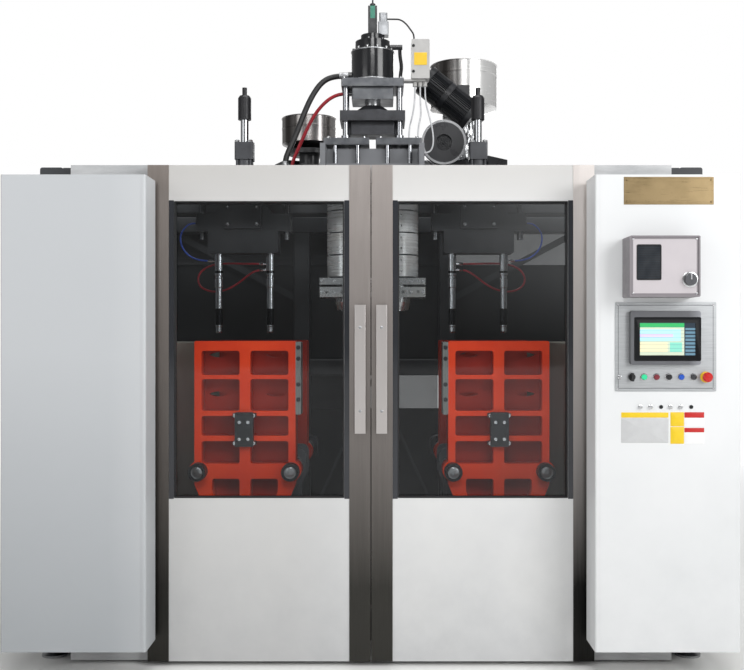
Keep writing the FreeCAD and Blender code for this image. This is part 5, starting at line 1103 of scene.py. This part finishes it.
fan_at = (fan_x, middle_y + 0.0685, fan_z)
roll = np.linspace(0.0, 2 * math.pi, 9)
guard = []
for r in (0.012, 0.022, 0.032, 0.041):
    wire = np.stack([r + 0.0012 * np.cos(roll), 0.0012 * np.sin(roll)], -1)
    guard += turned(wire, [fan_at], "y", 40)
spoke = np.array([-0.0425, 0.0425])[:, None]
roll = np.linspace(0.0, 2 * math.pi, 7)[None, :]
thick, deep = 0.0011 * np.cos(roll), 0.0011 * np.sin(roll)
for angle in (0.0, math.pi / 3, 2 * math.pi / 3):
    c, s = math.cos(angle), math.sin(angle)
    line = np.stack([spoke * c - thick * s, deep + 0 * spoke, spoke * s + thick * c], -1)
    guard.append(line + np.array(fan_at))
skins("blower_guard", guard, drives, "machine")


# ---- Programmer unit ----
# A pale lavender-grey case with a recessed dark display, a turned knob and four face screws.
# The case is painted a little darker along its edges and sides as painted shade, and the display
# carries faint ruled lines.
def within(x, z, area):
    """1 inside the rectangle x0, x1, z0, z1 and 0 outside it."""
    x0, x1, z0, z1 = area
    return (x > x0) * (x < x1) * (z > z0) * (z < z1)


def past_edge(finish, x, z, area):
    """How far a point lies past the nearest side of the rectangle x0, x1, z0, z1."""
    x0, x1, z0, z1 = area
    past_x = finish.maths("ABSOLUTE", x - (x0 + x1) / 2) - (x1 - x0) / 2
    past_z = finish.maths("ABSOLUTE", z - (z0 + z1) / 2) - (z1 - z0) / 2
    return finish.maths("MAXIMUM", past_x, past_z)


pale = Finish("programmer_case")
x, y, z = pale.axes()
screen_area = within(x, z, (1.0512, 1.1418, 1.6292, 1.7628)) * (y < -1.150)
trace = (pale.maths("FRACT", z * 110.0) > 0.86) * 0.12
glass_dark = pale.blend(trace, "23262B", "4C6A74")
case = pale.blend(pale.noise(10.0), "B4AEB2", "C0BABD")
low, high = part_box("programmer_unit")
# Painted shade: the edges and sides of the case are painted darker.
rim = past_edge(pale, x, z, (low[0], high[0], low[2], high[2]))
case = pale.blend(rim > -0.014, case, "7F7A7E")
pale.set(
    Base_Color=pale.blend(screen_area, case, glass_dark),
    Roughness=pale.vary(pale.noise(30.0), 0.36, 0.5) - screen_area * 0.24,
    Normal=pale.bump(pale.noise(600.0, 2.0), 0.1, 0.0004),
)
pale.on("programmer_unit")
knob_x, knob_z = 1.258, 1.628
knob = Finish("knob_plastic")
x, y, z = knob.axes()
nib = (y < -1.1755) * ((x - knob_x) ** 2.0 < 0.0028**2) * (z > knob_z)
moulded = knob.blend(knob.noise(30.0), "3A3B3F", "4A4B50")
knob.set(
    Base_Color=knob.blend(nib, moulded, "A0A0A4"),
    Roughness=knob.vary(knob.noise(60.0), 0.35, 0.5),
)
knob.on("programmer_knob")
case_front = -1.1577
skirt = [(0.0245, 0.0002), (0.031, 0.0002), (0.031, -0.0012), (0.029, -0.002), (0.0245, -0.002)]
skirt += [(0.0245, 0.0002)]
knob_ring = turned(skirt, [(knob_x, case_front, knob_z)], "y", 48)
skins("programmer_knob_ring", knob_ring, bright, "machine")
spots = [(px, case_front, pz) for px in (1.034, 1.284) for pz in (1.574, 1.787)]
skins("programmer_screws", socket_screws(0.0036, 0.002, spots), bright, "machine")
bezel = [(-0.004, 0.0003), (-0.004, -0.0012), (-0.001, -0.0016), (0.0, -0.0004), (0.0, 0.0003)]
grid = rounded((1.0515, 1.1415, 1.6295, 1.7625), 0.003, bezel, case_front)
skins("programmer_bezel", [grid], seal, "machine", smooth=30)


# ---- Operator panel and touch-screen unit ----
# A brushed stainless sheet with a scribed line round it; the touch unit is a light case with a
# black glass frame, and its lit screen shows plain fields of colour.
panel = Finish("brushed_panel")
x, _, z = panel.axes()
grain = panel.noise((12.0, 900.0, 900.0), 4.0, 0.7)
edge = past_edge(panel, x, z, (0.990, 1.399, 1.182, 1.543))
scribed = (edge > -0.0135) * (edge < -0.0115)
bare = panel.tones(grain, "A3A6A8", "C2C4C6")
panel.set(
    Base_Color=panel.blend(scribed, bare, "4B4C4E"),
    Metallic=0.9,
    Roughness=panel.vary(grain, 0.3, 0.45),
    Normal=panel.bump(grain, 0.06, 0.0003),
)
panel.on("operator_panel")
touch = Finish("touch_case_and_screen")
x, y, z = touch.axes()
x0, x1, z0, z1 = screen = (1.0832, 1.3068, 1.3282, 1.4588)
lit = within(x, z, screen) * (y < -1.0675) * (y > -1.0705)
u = (x - x0) / (x1 - x0)
v = (z - z0) / (z1 - z0)
rows = touch.maths("FRACT", v * 9.0)
field = "BFC9B4"
for mask, colour in (
    (v > 0.86, "38A860"),
    (within(u, v, (0.0, 0.74, 0.44, 0.80)), "A9D8DE"),
    (within(u, v, (0.0, 0.60, 0.56, 0.66)), "C9BBE0"),
    (within(u, v, (0.0, 0.50, 0.10, 0.40)), "D9D2B0"),
    (within(u, v, (0.54, 0.76, 0.10, 0.40)), "7FC6B4"),
    ((rows > 0.88) * 0.5, "4D7A86"),
    (u > 0.80, "2C3640"),
    ((u > 0.82) * (rows < 0.62) * (v < 0.84), "5E7F92"),
):
    field = touch.blend(mask, field, colour)
# Painted light and shade: the case is painted dark, as painted shade, and lighter towards its right
# edge, where the light falls.
case = touch.blend(touch.band(x, 1.28, 1.335), "4A4B50", "85878D")
case = touch.blend(touch.noise(10.0) * 0.2, case, "A8AAAD")
touch.set(
    Base_Color=touch.blend(lit, case, field),
    Roughness=touch.vary(touch.noise(30.0), 0.36, 0.5) - lit * 0.3,
    Emission_Color=touch.blend(lit, (0, 0, 0, 1), field),
)
touch.shader.inputs["Emission Strength"].default_value = 0.35
touch.on("touch_screen_unit")
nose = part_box("touch_screen_unit")[0][1]
frame_lip = [(0.0, 0.0004), (0.0, -0.0008), (0.001, -0.0014), (0.0222, -0.0014)]
frame_lip += [(0.0230, -0.0010), (0.0230, 0.0004)]
glass = Finish("black_glass")
glass.set(
    Base_Color=glass.blend(glass.noise(5.0), "0D0E10", "16171A"),
    Roughness=glass.vary(glass.noise(18.0, 4.0), 0.06, 0.14),
)
glass_frame = rounded((1.0602, 1.3296, 1.3052, 1.4818), 0.006, frame_lip, nose)
skins("touch_glass_frame", [glass_frame], glass, "machine", smooth=30)
sheet_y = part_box("operator_panel")[0][1]
corners = [(px, sheet_y, pz) for px in (1.001, 1.388) for pz in (1.193, 1.532)]
skins("panel_screws", socket_screws(0.0042, 0.0025, corners), bright, "machine")


# ---- Push buttons, selector and stop button ----
# Moulded caps in metal bezels: lit green, maroon, black, blue and grey, a black two-arm
# selector, and a red mushroom over a plain yellow ring.
def cap_finish(name, node, first, second, rough=0.22, glow=0.0):
    """Moulded cap: two close shades clouded together under a satin sheen, lit where glow is set."""
    made = Finish(name)
    cloud = made.noise(60.0)
    made.set(
        Base_Color=made.blend(cloud, first, second),
        Roughness=made.vary(cloud, rough, rough + 0.14),
    )
    if glow:
        made.shader.inputs["Emission Color"].default_value = shade(first)
        made.shader.inputs["Emission Strength"].default_value = glow
    made.on(node)


cap_finish("green_cap", "green_button", "2FC48B", "24A877", 0.2, 0.35)
cap_finish("maroon_cap", "maroon_button", "6E1F2A", "7E2935")
cap_finish("black_cap", "black_button", "141416", "202124")
cap_finish("blue_cap", "blue_button", "1747A6", "1F55BC")
cap_finish("grey_cap", "grey_button", "26272A", "36373B")
cap_finish("selector_black", "selector_switch", "121214", "1E1F22", 0.3)
cap_finish("mushroom_red", "stop_button", "C81D18", "A91512", 0.2)
button_pitch, row_z = 0.050, 1.240
row_x = [1.0565 + button_pitch * i for i in range(7)]
bezel = [(0.0114, 0.0003), (0.0150, 0.0003), (0.0150, -0.0022), (0.0136, -0.0034), (0.0118, -0.0034)]
bezel += [(0.0114, -0.0028), (0.0114, 0.0003)]
at = [(bx, sheet_y, row_z) for bx in row_x[1:6]]
skins("button_bezels", turned(bezel, at, "y", 40), bright, "machine")
collar = [(0.0114, 0.0003), (0.0225, 0.0003), (0.0225, -0.0012), (0.0219, -0.0016)]
collar += [(0.0114, -0.0016), (0.0114, 0.0003)]
stop_ring = turned(collar, [(row_x[6], sheet_y, row_z)], "y", 48)
skins("stop_ring", stop_ring, yellow, "machine")
barrel = [(0.0, -0.005), (0.0072, -0.005), (0.0086, -0.004), (0.0095, -0.001), (0.0095, 0.0003)]
barrel += [(0.0, 0.0003)]
key_x = 1.0075
skins("key_lock", turned(barrel, [(key_x, sheet_y, row_z)], "y", 32), bright, "machine")
bow = [(0.0015, -0.0048), (0.0, -0.0055), (0.0, -0.020), (0.0008, -0.0206), (0.5, -0.0206)]
bow_area = (key_x - 0.0015, key_x + 0.0015, row_z - 0.009, row_z + 0.007)
skins("key", [rounded(bow_area, 0.0012, bow, sheet_y)], bright, "machine", smooth=30)


# ---- Sockets and small knobs below the panel ----
# Four small turned metal knobs and two black sockets stand in a row on the cabinet sheet.
wall_y, low_row_z = -1.0417, 1.1187
small = [(0.0, -0.013), (0.005, -0.013), (0.0066, -0.0115), (0.0066, -0.004), (0.0092, -0.003)]
small += [(0.0092, 0.0003), (0.0, 0.0003)]
at = [(px, wall_y, low_row_z) for px in (1.092, 1.134, 1.214, 1.2556)]
skins("small_knobs", turned(small, at, "y", 24), bright, "machine")
socket = [(0.0, 0.0003), (0.0, -0.001), (0.0042, -0.001), (0.0048, -0.0035), (0.0075, -0.0035)]
socket += [(0.0080, 0.0003), (0.0, 0.0003)]
at = [(px, wall_y, low_row_z) for px in (1.1767, 1.2985)]
skins("small_sockets", turned(socket, at, "y", 24), seal, "machine")


# ---- Nameplate and label places ----
# A bare brass plate on four round-headed pins, and plain enamelled plates where labels go:
# grey under a yellow head, yellow squares, and red bars over white.
brass = Finish("bare_brass")
grain = brass.noise((10.0, 500.0, 500.0), 4.0, 0.6)
tarnish = brass.noise(9.0, 5.0)
brass.set(
    Base_Color=brass.blend(brass.band(tarnish, 0.35, 0.75), "93805F", "7F6E50"),
    Metallic=0.9,
    Roughness=brass.vary(grain, 0.26, 0.42),
    Normal=brass.bump(grain, 0.05, 0.0003),
)


def enamel_plate(name, area, finish, thick=0.0008):
    """A thin plate on the cabinet's face: its edge rises, turns over a small bevel and closes."""
    edge = [(0.0, 0.0002), (0.0, -thick * 0.6), (0.0006, -thick), (0.5, -thick)]
    skins(name, [rounded(area, 0.002, edge, wall_y)], finish, "machine", smooth=30)


enamel_plate("nameplate", (1.0257, 1.3899, 1.938, 2.050), brass, 0.0015)
ridge = [(0.0, -0.0014), (0.0004, -0.0020), (0.0016, -0.0020), (0.0020, -0.0014)]
border = rounded((1.0317, 1.3839, 1.944, 2.044), 0.002, ridge, wall_y)
skins("nameplate_border", [border], brass, "machine", smooth=60)
pin = [(0.0, -0.0042), (0.002, -0.0038), (0.0036, -0.0024), (0.0038, -0.0013), (0.0, -0.0013)]
pins = [(px, wall_y, pz) for px in (1.0377, 1.3779) for pz in (1.950, 2.038)]
skins("nameplate_pins", turned(pin, pins, "y", 20), brass, "machine")


def enamel_colour(name, first, second):
    """Baked enamel in one colour with a slight cloud and fine orange peel."""
    made = Finish(name)
    cloud = made.noise(40.0)
    made.set(
        Base_Color=made.blend(cloud, first, second),
        Roughness=made.vary(cloud, 0.3, 0.42),
        Normal=made.bump(made.noise(500.0), 0.06, 0.0003),
    )
    return made


grey_label = enamel_colour("label_grey", "B9BABB", "C4C5C6")
yellow_label = enamel_colour("label_yellow", "E9C81E", "DDB815")
red_label = enamel_colour("label_red", "C4201B", "B01814")
white_label = enamel_colour("label_white", "ECECEC", "E2E2E2")
plate_x, square_x, bar_x = (1.015, 1.2066), (1.2145, 1.2695), (1.2710, 1.3510)
for name, finish, area in (
    ("label_plate_grey", grey_label, (*plate_x, 0.973, 1.074)),
    ("label_plate_head", yellow_label, (*plate_x, 1.0755, 1.0965)),
    ("label_square_top", yellow_label, (*square_x, 1.0405, 1.0975)),
    ("label_square_low", yellow_label, (*square_x, 0.9695, 1.0385)),
    ("label_white_top", white_label, (*bar_x, 1.0405, 1.0740)),
    ("label_white_low", white_label, (*bar_x, 0.9695, 1.0150)),
    ("label_red_top", red_label, (*bar_x, 1.0752, 1.0975)),
    ("label_red_low", red_label, (*bar_x, 1.0162, 1.0340)),
):
    enamel_plate(name, area, finish)
